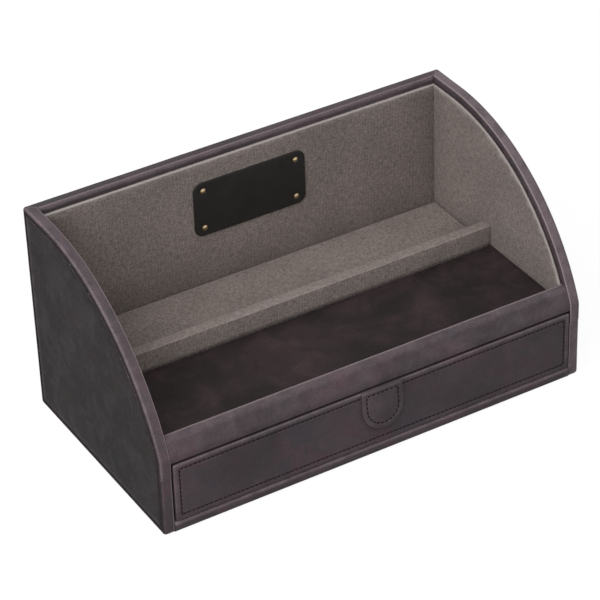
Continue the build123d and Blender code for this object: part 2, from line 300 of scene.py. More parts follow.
def fade(tree, value, low, high, bottom=0.0, top=1.0):
    """A smooth step from bottom at low to top at high."""
    values = {"Value": value, "From Min": low, "From Max": high, "To Min": bottom, "To Max": top}
    return add(tree, "MapRange", {"interpolation_type": "SMOOTHSTEP"}, values)[0]


def tint(tree, factor, first, second):
    """A mix of two colours, each a linear colour or a socket."""
    values = {0: factor}
    for key, value in ((6, first), (7, second)):
        values[key] = value if isinstance(value, bpy.types.NodeSocket) else (*value, 1.0)
    return add(tree, "Mix", {"data_type": "RGBA"}, values)[2]


def speckle(tree, vector, scale, detail=3.0, distortion=0.0):
    """A noise texture's value."""
    values = {"Vector": vector, "Scale": scale, "Detail": detail, "Distortion": distortion}
    return add(tree, "TexNoise", {}, values)[0]


def stretch(tree, vector, factors):
    """A vector with each part multiplied by its own factor."""
    return add(tree, "VectorMath", {"operation": "MULTIPLY"}, {0: vector, 1: factors})[0]


def jostle(tree, vector, scale, reach):
    """A vector pushed aside by soft noise, as far along each axis as reach says."""
    push = add(tree, "TexNoise", {}, {"Vector": vector, "Scale": scale, "Detail": 2.0})[1]
    values = {0: vector, 1: stretch(tree, push, reach)}
    return add(tree, "VectorMath", {"operation": "ADD"}, values)[0]


def new_group(name, inputs, outputs):
    """A shader node group with named sockets, and its input and output nodes' sockets."""
    group = bpy.data.node_groups.new(name, "ShaderNodeTree")
    kinds = {"v": "NodeSocketVector", "f": "NodeSocketFloat"}
    for direction, sockets in (("INPUT", inputs), ("OUTPUT", outputs)):
        for socket, kind in sockets.items():
            group.interface.new_socket(socket, in_out=direction, socket_type=kinds[kind])
    given, made = group.nodes.new("NodeGroupInput"), group.nodes.new("NodeGroupOutput")
    return group, given.outputs, made.inputs


def use_group(tree, name, values):
    """Place a node group in a material and return its outputs."""
    node = tree.nodes.new("ShaderNodeGroup")
    node.node_tree = bpy.data.node_groups[name]
    return connect(tree, node, values)


def build_mottle_group():
    """Clouds, blotches and fine scuffs of a distressed hide."""
    tree, given, made = new_group(
        "hide_mottle", {"Vector": "v"}, {"Cloud": "f", "Blotch": "f", "Scuff": "f"}
    )
    for name, scale, detail, distortion, low, high in (
        ("Cloud", 17.0, 3.0, 0.6, 0.36, 0.64),
        ("Blotch", 62.0, 4.0, 0.9, 0.42, 0.66),
        ("Scuff", 420.0, 4.0, 1.2, 0.45, 0.72),
    ):
        spots = speckle(tree, given["Vector"], scale, detail, distortion)
        tree.links.new(fade(tree, spots, low, high), made[name])


def build_wear_group():
    """Mask of rubbed edges: exposure broken up by noise."""
    tree, given, made = new_group("edge_wear", {"Vector": "v", "Exposure": "f"}, {"Mask": "f"})
    broad = speckle(tree, given["Vector"], 90.0, 3.0)
    fine = speckle(tree, given["Vector"], 650.0, 4.0)
    raised = reckon(tree, "MULTIPLY", given["Exposure"], weigh(tree, (broad, 0.9), (fine, 0.5)))
    tree.links.new(fade(tree, raised, 0.12, 0.78), made["Mask"])


def build_grain_group():
    """Height and pits of fine leather grain."""
    tree, given, made = new_group("hide_grain", {"Vector": "v"}, {"Height": "f", "Pits": "f"})
    place = jostle(tree, given["Vector"], 300.0, (0.0012, 0.0012, 0.0012))
    values = {"Vector": place, "Scale": 1050.0}
    cells = add(tree, "TexVoronoi", {"feature": "DISTANCE_TO_EDGE"}, values)[0]
    pebble = fade(tree, cells, 0.0, 0.28)
    nap = speckle(tree, given["Vector"], 2600.0, 3.0)
    creases = speckle(tree, given["Vector"], 140.0, 5.0, 1.6)
    ridges = reckon(tree, "ABSOLUTE", reckon(tree, "SUBTRACT", creases, 0.5))
    crease = fade(tree, ridges, 0.0, 0.035)
    tree.links.new(weigh(tree, (pebble, 0.5), (nap, 0.5), (crease, 0.35)), made["Height"])
    tree.links.new(reckon(tree, "SUBTRACT", 1.0, pebble), made["Pits"])


def build_weave_group():
    """Plain weave on a piece's own flat coordinates, counted in threads."""
    tree, given, made = new_group(
        "canvas_weave", {"Threads": "v"}, {"Height": "f", "Thread": "f", "Tone": "f"}
    )
    place = jostle(tree, given["Threads"], 0.35, (0.75, 0.75, 0.0))
    across, along = add(tree, "SeparateXYZ", {}, {0: place})[:2]
    humps, columns = [], []
    for part in (across, along):
        wave = reckon(tree, "SINE", reckon(tree, "MULTIPLY", part, pi))
        humps.append(reckon(tree, "ABSOLUTE", wave))
        columns.append(reckon(tree, "FLOOR", part))
    parity = reckon(tree, "COSINE", reckon(tree, "MULTIPLY", reckon(tree, "ADD", *columns), pi))
    lift = scale_shift(tree, reckon(tree, "MULTIPLY", humps[1], parity), 0.45, 0.55)
    sink = scale_shift(tree, reckon(tree, "MULTIPLY", humps[0], parity), -0.45, 0.55)
    warp_height = reckon(tree, "MULTIPLY", humps[0], lift)
    weft_height = reckon(tree, "MULTIPLY", humps[1], sink)
    height = reckon(tree, "MAXIMUM", warp_height, weft_height)
    warp = speckle(tree, stretch(tree, place, (0.95, 0.28, 1.0)), 1.0, 4.0)
    weft = speckle(tree, stretch(tree, place, (0.30, 0.95, 1.0)), 1.0, 4.0)
    side_up = reckon(tree, "MULTIPLY", reckon(tree, "ADD", parity, 1.0), 0.5)
    tone = add(tree, "Mix", {"data_type": "FLOAT"}, {0: side_up, 2: warp, 3: weft})[0]
    tree.links.new(height, made["Height"])
    tree.links.new(fade(tree, height, 0.10, 0.60), made["Thread"])
    tree.links.new(fade(tree, tone, 0.30, 0.70), made["Tone"])


def build_fibre_group():
    """Pressed fibres of board and felt."""
    tree, given, made = new_group("fibres", {"Vector": "v"}, {"Height": "f", "Shade": "f"})
    strands = [
        speckle(tree, stretch(tree, given["Vector"], factors), 900.0, 3.0, 0.8)
        for factors in ((1.0, 0.25, 1.0), (0.25, 1.0, 1.0), (1.0, 1.0, 0.25))
    ]
    total = reckon(tree, "ADD", reckon(tree, "ADD", strands[0], strands[1]), strands[2])
    height = reckon(tree, "DIVIDE", total, 3.0)
    patches = speckle(tree, given["Vector"], 70.0, 4.0)
    tree.links.new(height, made["Height"])
    shade = weigh(tree, (height, 0.7), (patches, 0.3))
    tree.links.new(fade(tree, shade, 0.40, 0.62), made["Shade"])


def new_material(name, roughness, specular):
    """A material's tree, its Principled node and its Object coordinates."""
    material = bpy.data.materials.new(name)
    material.use_nodes = True
    tree = material.node_tree
    surface = tree.nodes["Principled BSDF"]
    surface.inputs["Roughness"].default_value = roughness
    surface.inputs["Specular IOR Level"].default_value = specular
    return tree, surface, add(tree, "TexCoord", {}, {})["Object"]


def bump(tree, surface, height, distance):
    """Feed a height to a shader's normal."""
    normal = add(tree, "Bump", {}, {"Height": height, "Distance": distance, "Strength": 1.0})[0]
    tree.links.new(normal, surface.inputs["Normal"])


def stored_exposure(tree):
    """How much the surface is rubbed or shaded, as mark_exposure has stored it."""
    return add(tree, "Attribute", {"attribute_name": "exposure"}, {})["Fac"]


def leather(
    name, colours, base, dark, worn, recess=None, cool=0.0, warm=0.0,
    roughness=0.62, specular=0.22, sheen=0.04,
):
    """Distressed leather: clouds, blotches and scuffs, rubbed edges, fine grain, and painted shade
    in the recess colour.
    """
    tree, surface, place = new_material(name, roughness, specular)
    mottle = use_group(tree, "hide_mottle", {"Vector": place})
    pores = use_group(tree, "hide_grain", {"Vector": place})
    exposure = stored_exposure(tree)
    rubbed = use_group(tree, "edge_wear", {"Vector": place, "Exposure": exposure})["Mask"]
    haze = fade(tree, speckle(tree, place, 38.0, 3.0, 0.4), 0.44, 0.60, 0.0, cool)
    rust = fade(tree, speckle(tree, place, 44.0, 3.0, 0.8), 0.47, 0.62, 0.0, warm)
    paint = tint(tree, rust, tint(tree, haze, base, colours.cool), colours.warm)
    for mark, strength, shade in (
        ("Cloud", 0.75, dark), ("Blotch", 0.38, dark), ("Scuff", 0.08, worn),
    ):
        paint = tint(tree, reckon(tree, "MULTIPLY", mottle[mark], strength), paint, shade)
    # Painted shade: a negative exposure tints the hide towards recess, or dark, on faces in gaps,
    # grooves and corners.
    paint = tint(tree, fade(tree, exposure, -1.0, 0.0, 0.85, 0.0), paint, recess or dark)
    paint = tint(tree, rubbed, paint, worn)
    through = reckon(tree, "MULTIPLY", rubbed, fade(tree, exposure, 1.1, 2.0))
    paint = tint(tree, through, paint, colours.bare)
    paint = tint(tree, reckon(tree, "MULTIPLY", pores["Pits"], 0.30), paint, dark)
    tree.links.new(paint, surface.inputs["Base Color"])
    polish = weigh(tree, (mottle["Blotch"], -0.10), (pores["Pits"], 0.10))
    tree.links.new(reckon(tree, "ADD", polish, roughness), surface.inputs["Roughness"])
    surface.inputs["Sheen Weight"].default_value = sheen
    surface.inputs["Sheen Roughness"].default_value = 0.45
    bump(tree, surface, pores["Height"], distance=0.00006)


def canvas(name, colours, pitch):
    """Plain-weave canvas on a piece's own flat coordinates, paler along its folds, with painted
    shade where the exposure is negative.
    """
    tree, surface, place = new_material(name, 0.9, 0.12)
    flat = add(tree, "UVMap", {"uv_map": "weave"}, {})[0]
    threads = stretch(tree, flat, (1.0 / pitch, 1.0 / pitch, 0.0))
    weave = use_group(tree, "canvas_weave", {"Threads": threads})
    exposure = stored_exposure(tree)
    rubbed = use_group(tree, "edge_wear", {"Vector": place, "Exposure": exposure})["Mask"]
    clouds = fade(tree, speckle(tree, place, 30.0, 4.0), 0.35, 0.65)
    gaps = reckon(tree, "SUBTRACT", 1.0, weave["Thread"])
    dim, lit = ([part * strength for part in colours.canvas] for strength in (0.66, 1.34))
    paint = tint(tree, weave["Tone"], dim, lit)
    for mark, strength in ((gaps, 0.45), (clouds, 0.14)):
        paint = tint(tree, reckon(tree, "MULTIPLY", mark, strength), paint, colours.canvas_dark_and_shade)
    # Painted shade: a negative exposure tints the canvas towards its gap colour.
    paint = tint(tree, fade(tree, exposure, -1.0, 0.0, 0.26, 0.0), paint, colours.canvas_dark_and_shade)
    paint = tint(tree, reckon(tree, "MULTIPLY", rubbed, 0.85), paint, colours.canvas_worn_and_lit)
    tree.links.new(paint, surface.inputs["Base Color"])
    surface.inputs["Sheen Weight"].default_value = 0.10
    surface.inputs["Sheen Roughness"].default_value = 0.6
    nap = speckle(tree, place, 3500.0, 2.0)
    height = reckon(tree, "ADD", weave["Height"], reckon(tree, "MULTIPLY", nap, 0.25))
    bump(tree, surface, height, distance=0.00022)


def fibrous(name, base, strength, roughness=0.85):
    """Pressed board or felt, with fibres and darker patches."""
    tree, surface, place = new_material(name, roughness, 0.15)
    fibres = use_group(tree, "fibres", {"Vector": place})
    dark = [part * (1.0 - strength) for part in base]
    tree.links.new(tint(tree, fibres["Shade"], dark, base), surface.inputs["Base Color"])
    bump(tree, surface, fibres["Height"], distance=0.00025)


def thread(name, base):
    """Waxed thread with a twist along its length."""
    tree, surface, place = new_material(name, 0.8, 0.08)
    twist = speckle(tree, place, 2400.0, 2.0, 0.6)
    lit = [part * 1.8 for part in base]
    tree.links.new(tint(tree, fade(tree, twist, 0.4, 0.7), base, lit), surface.inputs["Base Color"])
    bump(tree, surface, twist, distance=0.00015)


def plastic(name, base):
    """Moulded plastic with a fine texture and scattered scuffs."""
    tree, surface, place = new_material(name, 0.42, 0.45)
    pebble = speckle(tree, place, 1800.0, 2.0)
    scuff = speckle(tree, stretch(tree, place, (1.0, 0.2, 1.0)), 240.0, 5.0, 1.0)
    scuff = fade(tree, scuff, 0.52, 0.7)
    pale = [part * 2.0 for part in base]
    paint = tint(tree, reckon(tree, "MULTIPLY", scuff, 0.6), base, pale)
    tree.links.new(paint, surface.inputs["Base Color"])
    tree.links.new(fade(tree, scuff, 0.0, 1.0, 0.38, 0.6), surface.inputs["Roughness"])
    bump(tree, surface, pebble, distance=0.00004)


def brass(name, bright, tarnish):
    """Antique brass, bright on its crown and dark round its edge."""
    tree, surface, place = new_material(name, 0.34, 0.5)
    film = speckle(tree, place, 900.0, 4.0)
    crown = fade(tree, scale_shift(tree, film, 0.5, 0.5), 0.2, 0.8)
    shine = reckon(tree, "MULTIPLY", stored_exposure(tree), reckon(tree, "ADD", crown, 0.6))
    mask = fade(tree, shine, 0.2, 0.75)
    tree.links.new(tint(tree, mask, tarnish, bright), surface.inputs["Base Color"])
    tree.links.new(fade(tree, mask, 0.0, 1.0, 0.55, 0.30), surface.inputs["Roughness"])
    surface.inputs["Metallic"].default_value = 1.0
    bump(tree, surface, film, distance=0.00003)


def build_finishes(scene):
    """Make every node group and material once."""
    colours, linings = scene.organizer_finish, scene.organizer_lining
    for build in (
        build_mottle_group, build_wear_group, build_grain_group, build_weave_group,
        build_fibre_group,
    ):
        build()
    leather(
        "case_hide", colours, colours.hide, colours.hide_dark, colours.worn, colours.hide_painted_shade,
        cool=0.8, warm=0.9,
    )
    leather(
        "side_hide", colours, colours.side, colours.side_dark_and_shade, colours.worn,
        warm=0.08, specular=0.11, sheen=0.02,
    )
    leather(
        "tray_hide", colours, colours.tray, colours.tray_dark, colours.hide,
        warm=0.22, specular=0.16, sheen=0.02,
    )
    leather(
        "patch_hide", colours, colours.patch, colours.tray_dark, colours.hide_dark,
        roughness=0.5, specular=0.3,
    )
    canvas("lining_cloth", colours, linings.thread_pitch)
    fibrous("board", colours.board, strength=0.35)
    fibrous("felt", colours.felt, strength=0.5, roughness=0.95)
    thread("sewing_thread", colours.thread)
    plastic("moulded_plastic", colours.plastic)
    brass("antique_brass", colours.brass, colours.tarnish)


def at(value, place):
    """True where two lengths are the same."""
    return abs(value - place) < touch


def middle(item):
    """The middle of an edge or a face."""
    return sum((vert.co for vert in item.verts), Vector()) / len(item.verts)


def span(edge, axis):
    """How far an edge reaches along one axis."""
    return abs(edge.verts[0].co[axis] - edge.verts[1].co[axis])


def move_new(bm, made, offset):
    """Move the vertices among what an operator has made."""
    moved = [item for item in made if isinstance(item, bmesh.types.BMVert)]
    bmesh.ops.translate(bm, verts=moved, vec=offset)


def start_at(bm, point):
    """A lone vertex, where an outline begins."""
    return bmesh.ops.create_vert(bm, co=point)["vert"][0]


def line_to(bm, vert, point):
    """Draw a straight edge from a vertex and return its end."""
    end = bmesh.ops.extrude_vert_indiv(bm, verts=[vert])["verts"][0]
    bmesh.ops.translate(bm, verts=[end], vec=Vector(point) - end.co)
    return end


def arc_to(bm, vert, centre, turn, steps, axis=(1, 0, 0)):
    """Draw an arc from a vertex, turned about an axis through centre, and return its end."""
    made = bmesh.ops.spin(bm, geom=[vert], cent=centre, axis=axis, angle=turn, steps=steps)
    return next(item for item in made["geom_last"] if isinstance(item, bmesh.types.BMVert))


def close_face(bm):
    """Join an outline's ends where they meet and fill it with one face."""
    bmesh.ops.remove_doubles(bm, verts=bm.verts[:], dist=touch)
    return bmesh.ops.contextual_create(bm, geom=bm.edges[:])["faces"][0]


def thicken(bm, face, offset):
    """Make a closed block from a flat face by drawing it out."""
    move_new(bm, bmesh.ops.extrude_face_region(bm, geom=[face])["geom"], offset)
    bmesh.ops.recalc_face_normals(bm, faces=bm.faces[:])


def block(low, high):
    """A new bmesh with a box between two corners."""
    bm = bmesh.new()
    place = Matrix.Translation((high + low) / 2)
    bmesh.ops.create_cube(bm, size=1.0, matrix=place @ Matrix.Diagonal((*(high - low), 1.0)))
    return bm


def round_edges(bm, edges, radius, segments=5):
    """Round edges to a radius."""
    bmesh.ops.bevel(
        bm, geom=edges, offset=radius, segments=segments, profile=0.5, affect="EDGES", material=-1
    )


def edges_at(bm, axis, place):
    """The edges that lie in the plane where one coordinate has a given value."""
    return [edge for edge in bm.edges if all(at(vert.co[axis], place) for vert in edge.verts)]


def face_towards(bm, direction):
    """The largest face that looks in a direction."""
    bm.normal_update()
    facing = [face for face in bm.faces if face.normal.dot(Vector(direction)) > 0.999]
    return max(facing, key=lambda face: face.calc_area())


def remove_faces(bm, wanted):
    """Delete the faces that a test picks."""
    bm.normal_update()
    picked = [face for face in bm.faces if wanted(face)]
    bmesh.ops.delete(bm, geom=picked, context="FACES")


def open_side(bm, axis, place):
    """Leave off the flat faces at one end of an axis, where a piece lies on another."""
    remove_faces(bm, lambda face: at(middle(face)[axis], place) and abs(face.normal[axis]) > 0.9)


def cut(bm, point, normal, clear=False, snap=touch):
    """Cut every face by a plane, and take away what lies on its outer side if clear is true."""
    everything = bm.verts[:] + bm.edges[:] + bm.faces[:]
    bmesh.ops.bisect_plane(
        bm, geom=everything, dist=snap, plane_co=point, plane_no=normal, clear_outer=clear
    )


def slice_at(bm, axis, places, snap=touch):
    """Cut a piece across one axis at each place."""
    normal = Vector([float(index == axis) for index in range(3)])
    for place in places:
        cut(bm, normal * place, normal, snap=snap)


def slice_evenly(bm, axis, low, high, pitch):
    """Cut a piece across one axis at even steps."""
    count = max(1, round((high - low) / pitch))
    places = [low + (high - low) * step / count for step in range(1, count)]
    slice_at(bm, axis, places, snap=near_touch)


def slice_grid(bm, axes, low, high, pitch):
    """Cut a piece between two corners at even steps across each of some axes."""
    for axis in axes:
        slice_evenly(bm, axis, low[axis], high[axis], pitch)


def turn_left(bm):
    """Turn a piece that is made for the right end into the left one."""
    bmesh.ops.scale(bm, vec=(-1.0, 1.0, 1.0), verts=bm.verts[:])
    bmesh.ops.reverse_faces(bm, faces=bm.faces[:])


def groove(bm, face, inset, width, depth):
    """Press a groove into a flat face along its outline, its middle inset from the face's edge."""
    for thickness, sink in ((inset - width / 2, 0.0), (width / 2, -depth), (width / 2, depth)):
        bmesh.ops.inset_region(
            bm, faces=[face], thickness=thickness, depth=sink, use_even_offset=True
        )


def ripple(bm, depth, reach, seed):
    """Sink each vertex by smooth noise, as hand-laid leather or cloth lies.

    The base stays flat, and open edges stay where they meet another piece.
    """
    bm.normal_update()
    shift = Vector((seed, 0.0, 0.0))
    for vert in bm.verts:
        if vert.co.z > touch and not vert.is_boundary:
            vert.co -= vert.normal * (depth * (1 + noise.noise(vert.co / reach + shift)) / 2)


def mark_exposure(bm, measure):
    """Store for the materials how much each vertex is rubbed, up to 2, or shaded, down to -1."""
    layer = bm.verts.layers.float.new("exposure")
    bm.normal_update()
    for vert in bm.verts:
        vert[layer] = min(2.0, max(-1.0, measure(vert)))


def unmarked(vert):
    """The exposure of a piece that is neither rubbed nor shaded."""
    return 0.0


def edge_tilt(vert):
    """0 on a flat face along the axes, and 1 in the middle of a rounded edge."""
    return (1.0 - max(abs(part) for part in vert.normal)) / (1.0 - sqrt(0.5))


def rim_tilt(vert):
    """0 on an end wall's faces and along its rim, and 1 in the middle of the rim's two edges."""
    return 2.0 * abs(vert.normal.x) * hypot(vert.normal.y, vert.normal.z)


def lay_weave(bm):
    """Lay flat coordinates on each face, along the two axes that it looks along least."""
    layer = bm.loops.layers.uv.new("weave")
    for face in bm.faces:
        facing = max(range(3), key=lambda axis: abs(face.normal[axis]))
        across, along = (axis for axis in range(3) if axis != facing)
        for loop in face.loops:
            loop[layer].uv = (loop.vert.co[across], loop.vert.co[along])


def finish_piece(name, bm, material, body, nodes=(), wall=0.0, crease=35.0):
    """Turn a bmesh into a piece, with its finish, wall, body, slot and the nodes it replaces."""
    mesh = bpy.data.meshes.new(name)
    bm.normal_update()
    bm.to_mesh(mesh)
    bm.free()
    mesh.shade_smooth()
    mesh.set_sharp_from_angle(angle=radians(crease))
    mesh.materials.append(bpy.data.materials[material])
    piece = bpy.data.objects.new(name, mesh)
    bpy.context.scene.collection.objects.link(piece)
    if wall:
        shell = piece.modifiers.new("wall", "SOLIDIFY")
        shell.thickness, shell.offset = wall, -1.0
    if body:
        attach(piece, body)
    if nodes:
        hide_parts(*nodes)
    return piece


def finish_leather(name, bm, exposure, body, *nodes, wall=0.0):
    """Make a bmesh a piece of the case's leather. exposure measures how each vertex is rubbed or
    painted in shade.
    """
    mark_exposure(bm, exposure)
    return finish_piece(name, bm, "case_hide", body, nodes, wall)


def finish_canvas(name, bm, exposure, body, node, wall):
    """Make a bmesh a piece of canvas."""
    lay_weave(bm)
    mark_exposure(bm, exposure)
    finish_piece(name, bm, "lining_cloth", body, (node,), wall)


def rim_circle(sizes):
    """Radius and centre height of the sides' curved rim."""
    run = case_back - case_front - sizes.rim_flat
    rise = case_height - sizes.post_height
    radius = (run ** 2 + rise ** 2) / (2 * rise)
    return radius, case_height - radius


def draw_rim(bm, sizes, x, inset, vert, end_angle, steps):
    """Draw the post's knee and the curved rim on from the post, drawn in by inset."""
    radius, centre_z = rim_circle(sizes)
    centre_y = case_back - sizes.rim_flat
    knee_y = case_front + sizes.knee_round
    knee_z = centre_z + sqrt((radius - sizes.knee_round) ** 2 - (centre_y - knee_y) ** 2)
    turn = atan2(knee_z - centre_z, knee_y - centre_y)
    vert = line_to(bm, vert, (x, case_front + inset, knee_z))
    vert = arc_to(bm, vert, (x, knee_y, knee_z), turn - pi, 5)
    return arc_to(bm, vert, (x, centre_y, centre_z), end_angle - turn, steps)


def draw_side(bm, sizes, x, inset):
    """Draw the end wall's whole outline at x, drawn in by inset."""
    front, back = case_front + inset, case_back - inset
    low, top = inset, case_height - inset
    least_round = 0.0003
    corner = max(sizes.corner_round - inset, least_round)
    first = start_at(bm, (x, front, low + corner))
    vert = draw_rim(bm, sizes, x, inset, first, pi / 2, 48)
    for straight_end, centre in (
        ((x, back - corner, top), (x, back - corner, top - corner)),
        ((x, back, low + corner), (x, back - corner, low + corner)),
        ((x, front + corner, low), (x, front + corner, low + corner)),
    ):
        vert = line_to(bm, vert, straight_end)
        vert = arc_to(bm, vert, centre, -pi / 2, 4)


def side_outline(sizes, x, inset):
    """Points of the end wall's outline at x, drawn in by inset, in order and closed."""
    bm = bmesh.new()
    draw_side(bm, sizes, x, inset)
    path = [vert.co.copy() for vert in bm.verts]
    bm.free()
    return path


def side_sections(sizes, sewing):
    """X and inset of each outline of an end wall, from its inner face to its outer one."""
    near, far = sizes.rim_round, sizes.edge_round
    inset, reach = sewing.case_inset, sewing.groove_width / 2
    turns = [radians(turn) for turn in range(0, 91, 18)]
    sections = [(inner_x, sizes.shade_depth), (inner_x, 2 * near)]
    sections += [(inner_x + near * (1 - cos(turn)), near * (1 - sin(turn))) for turn in turns]
    sections += [(inner_x + 2 * near, 0.0), ((inner_x + half_width) / 2, 0.0)]
    sections += [(half_width - far * (1 - sin(turn)), far * (1 - cos(turn))) for turn in turns]
    sections += [(half_width, inset - reach), (half_width - sewing.groove_depth, inset)]
    return sections + [(half_width, inset + reach)]


def loft(bm, outlines):
    """Join outlines of equal counts of points by quads, and close the first and the last."""
    rings = [[start_at(bm, point) for point in outline[:-1]] for outline in outlines]
    for ring, following in zip(rings, rings[1:]):
        for index in range(len(ring)):
            corners = [ring[index - 1], ring[index], following[index], following[index - 1]]
            bmesh.ops.contextual_create(bm, geom=corners)
    for ring in (rings[0], rings[-1]):
        rim = [edge for edge in bm.edges if set(ring).issuperset(edge.verts)]
        bmesh.ops.contextual_create(bm, geom=rim)
    bmesh.ops.recalc_face_normals(bm, faces=bm.faces[:])


def faces_front(vert):
    """True on the front of a post and of its rounded edges."""
    return vert.normal.y < -0.3


def step_overlap(bm, sizes):
    """Thin the post's leather below the place where the rim's strip ends."""
    height, reach = sizes.overlap_height, sizes.overlap_step
    slice_at(bm, 2, (height - reach, height))
    bm.normal_update()
    for vert in bm.verts:
        if touch < vert.co.z < height - reach / 2 and faces_front(vert):
            vert.co -= vert.normal * sizes.overlap_step * -vert.normal.y


def make_side_cover(scene, side):
    """Leather of one end wall. side is 1 on the right and -1 on the left."""
    sizes, sewing = scene.organizer_case, scene.organizer_stitch
    bm = bmesh.new()
    loft(bm, [side_outline(sizes, *section) for section in side_sections(sizes, sewing)])
    cut(bm, (inner_x, inner_back, 0.0), (-1.0, 1.0, 0.0), clear=True)
    slice_at(bm, 1, (case_front + sizes.turn_in,))
    slice_at(bm, 2, (sizes.leather, deck_under))
    remove_faces(bm, lambda face: (
        at(middle(face).x, inner_x) and middle(face).y > case_front + sizes.turn_in
        and sizes.leather < middle(face).z < deck_under
    ))
    slice_evenly(bm, 1, case_front, case_back, pitch=0.009)
    slice_evenly(bm, 2, 0.0, case_height, pitch=0.009)
    step_overlap(bm, sizes)
    cut(bm, (inner_x, inner_back - seam_cut, 0.0), (-1.0, 1.0, 0.0))
    if side < 0:
        turn_left(bm)
    ripple(bm, sizes.waviness, reach=0.022, seed=3.0 * side)
    ripple(bm, sizes.waviness * 0.6, reach=0.007, seed=5.0 * side)
    word = "right" if side > 0 else "left"
    piece = finish_leather(
        f"{word}_side_cover", bm, lambda vert: side_wear_and_shade(sizes, vert), "case",
        f"{word}_side_leather", wall=sizes.leather,
    )
    piece.data.materials.append(bpy.data.materials["side_hide"])
    for face in piece.data.polygons:
        beside = face.center.x * side > inner_x + sizes.edge_round
        face.material_index = 1 if beside and face.normal.x * side > 0.78 else 0


def side_wear_and_shade(sizes, vert):
    """How much an end wall's leather is rubbed, most along the rim's inner edge, and where it is
    painted in shade.
    """
    x, right, lean = abs(vert.co.x), vert.co.x > 0.0, abs(vert.normal.x)
    tilt = rim_tilt(vert)
    if abs(vert.co.y - x - inner_back + inner_x) < seam_reach and vert.normal.z > 0.5:
        return 0.9
    if sizes.overlap_height - sizes.overlap_step - touch < vert.co.z < sizes.overlap_height + touch:
        return max(tilt, 0.55 if faces_front(vert) else 0.0)
    # Inner face: a little rubbed just below the rim, painted shade further down and where it faces
    # the drawer gap.
    if lean > flat_limit and x < inner_x + sizes.edge_round:
        radius, centre_z = rim_circle(sizes)
        run = min(vert.co.y - case_back + sizes.rim_flat, 0.0)
        near_rim = radius - hypot(run, vert.co.z - centre_z) < sizes.shade_depth * 0.6
        return 0.35 if near_rim and vert.co.z > deck_under else painted_gap_shade
    # Bottom of the sewn groove: painted shade.
    if lean > 0.9 and half_width - sizes.edge_round < x < half_width - 0.0005:
        return painted_gap_shade
    # Outer face: painted shade, darker towards the bottom.
    if lean > flat_limit and x > half_width - sizes.edge_round:
        return -0.5 * (1.0 - vert.co.z / case_height) ** 0.5
    if x < inner_x + sizes.rim_round + touch:
        return max(1.8 * tilt, 0.4) if right else 1.5
    above = vert.co.z > sizes.overlap_height
    strip = 0.75 if right else (0.42 if above else 0.3)
    return max((0.85 if above else 0.45) * tilt, strip if lean < 0.5 else 0.0)


def make_back_cover(scene):
    """Leather of the back wall, mitred to the sides, with the lead outlet's hole."""
    sizes, sewing = scene.organizer_case, scene.organizer_stitch
    bm = bmesh.new()
    draw_side(bm, sizes, -half_width, 0.0)
    thicken(bm, close_face(bm), (2 * half_width, 0.0, 0.0))
    round_edges(bm, edges_at(bm, 0, half_width) + edges_at(bm, 0, -half_width), sizes.edge_round)
    cut(bm, (0.0, inner_back, 0.0), (0.0, -1.0, 0.0), clear=True)
    rim = [edge for edge in edges_at(bm, 1, inner_back) if edge.is_boundary]
    bmesh.ops.contextual_create(bm, geom=rim)
    bmesh.ops.recalc_face_normals(bm, faces=bm.faces[:])
    outside = face_towards(bm, (0, 1, 0))
    inset = sewing.case_inset - sizes.corner_round
    groove(bm, outside, inset, sewing.groove_width, sewing.groove_depth)
    for side in (1.0, -1.0):
        cut(bm, (side * inner_x, inner_back, 0.0), (side, -1.0, 0.0), clear=True)
    top_edge = [edge for edge in edges_at(bm, 1, inner_back) if at(middle(edge).z, case_height)]
    round_edges(bm, top_edge, sizes.rim_round)
    cut_outlet(bm)
    slice_at(bm, 2, (sizes.leather, deck_under))
    remove_faces(bm, lambda face: (
        at(middle(face).y, inner_back) and sizes.leather < middle(face).z < deck_under
    ))
    slice_evenly(bm, 0, -half_width, half_width, pitch=0.011)
    slice_evenly(bm, 2, 0.06, case_height, pitch=0.009)
    for side in (1.0, -1.0):
        cut(bm, (side * (inner_x - seam_cut), inner_back, 0.0), (side, -1.0, 0.0))
    worn = sizes.shade_depth - 2 * sizes.rim_round
    rings = (0.0, 0.35 * worn, 0.7 * worn, worn)
    slice_at(bm, 2, [case_height - 2 * sizes.rim_round - ring for ring in rings])
    ripple(bm, sizes.waviness, reach=0.022, seed=11.0)
    ripple(bm, sizes.waviness * 0.6, reach=0.007, seed=12.0)

    def exposure(vert):
        depth = (case_height - vert.co.z) / sizes.shade_depth
        # The inner face below the rim is rubbed at the top, fades into painted shade just above the
        # lining and gets painted gap shade lower down; elsewhere the hide is tinted a little
        # darker, with rubbing on the inner rounding and the seam ridge.
        if vert.normal.y < -flat_limit:
            return 1.6 - 1.9 * depth if depth < 1.01 else painted_gap_shade
        seam = abs(vert.co.y - inner_back - abs(vert.co.x) + inner_x)
        ridge = 0.9 if seam < seam_reach and vert.normal.z > 0.5 else 0.0
        inside = vert.co.y < inner_back + sizes.rim_round + touch
        return max(-1.5 * vert.normal.y if inside else -0.25, ridge)

    finish_leather("back_cover", bm, exposure, "case", "back_leather", wall=sizes.leather)


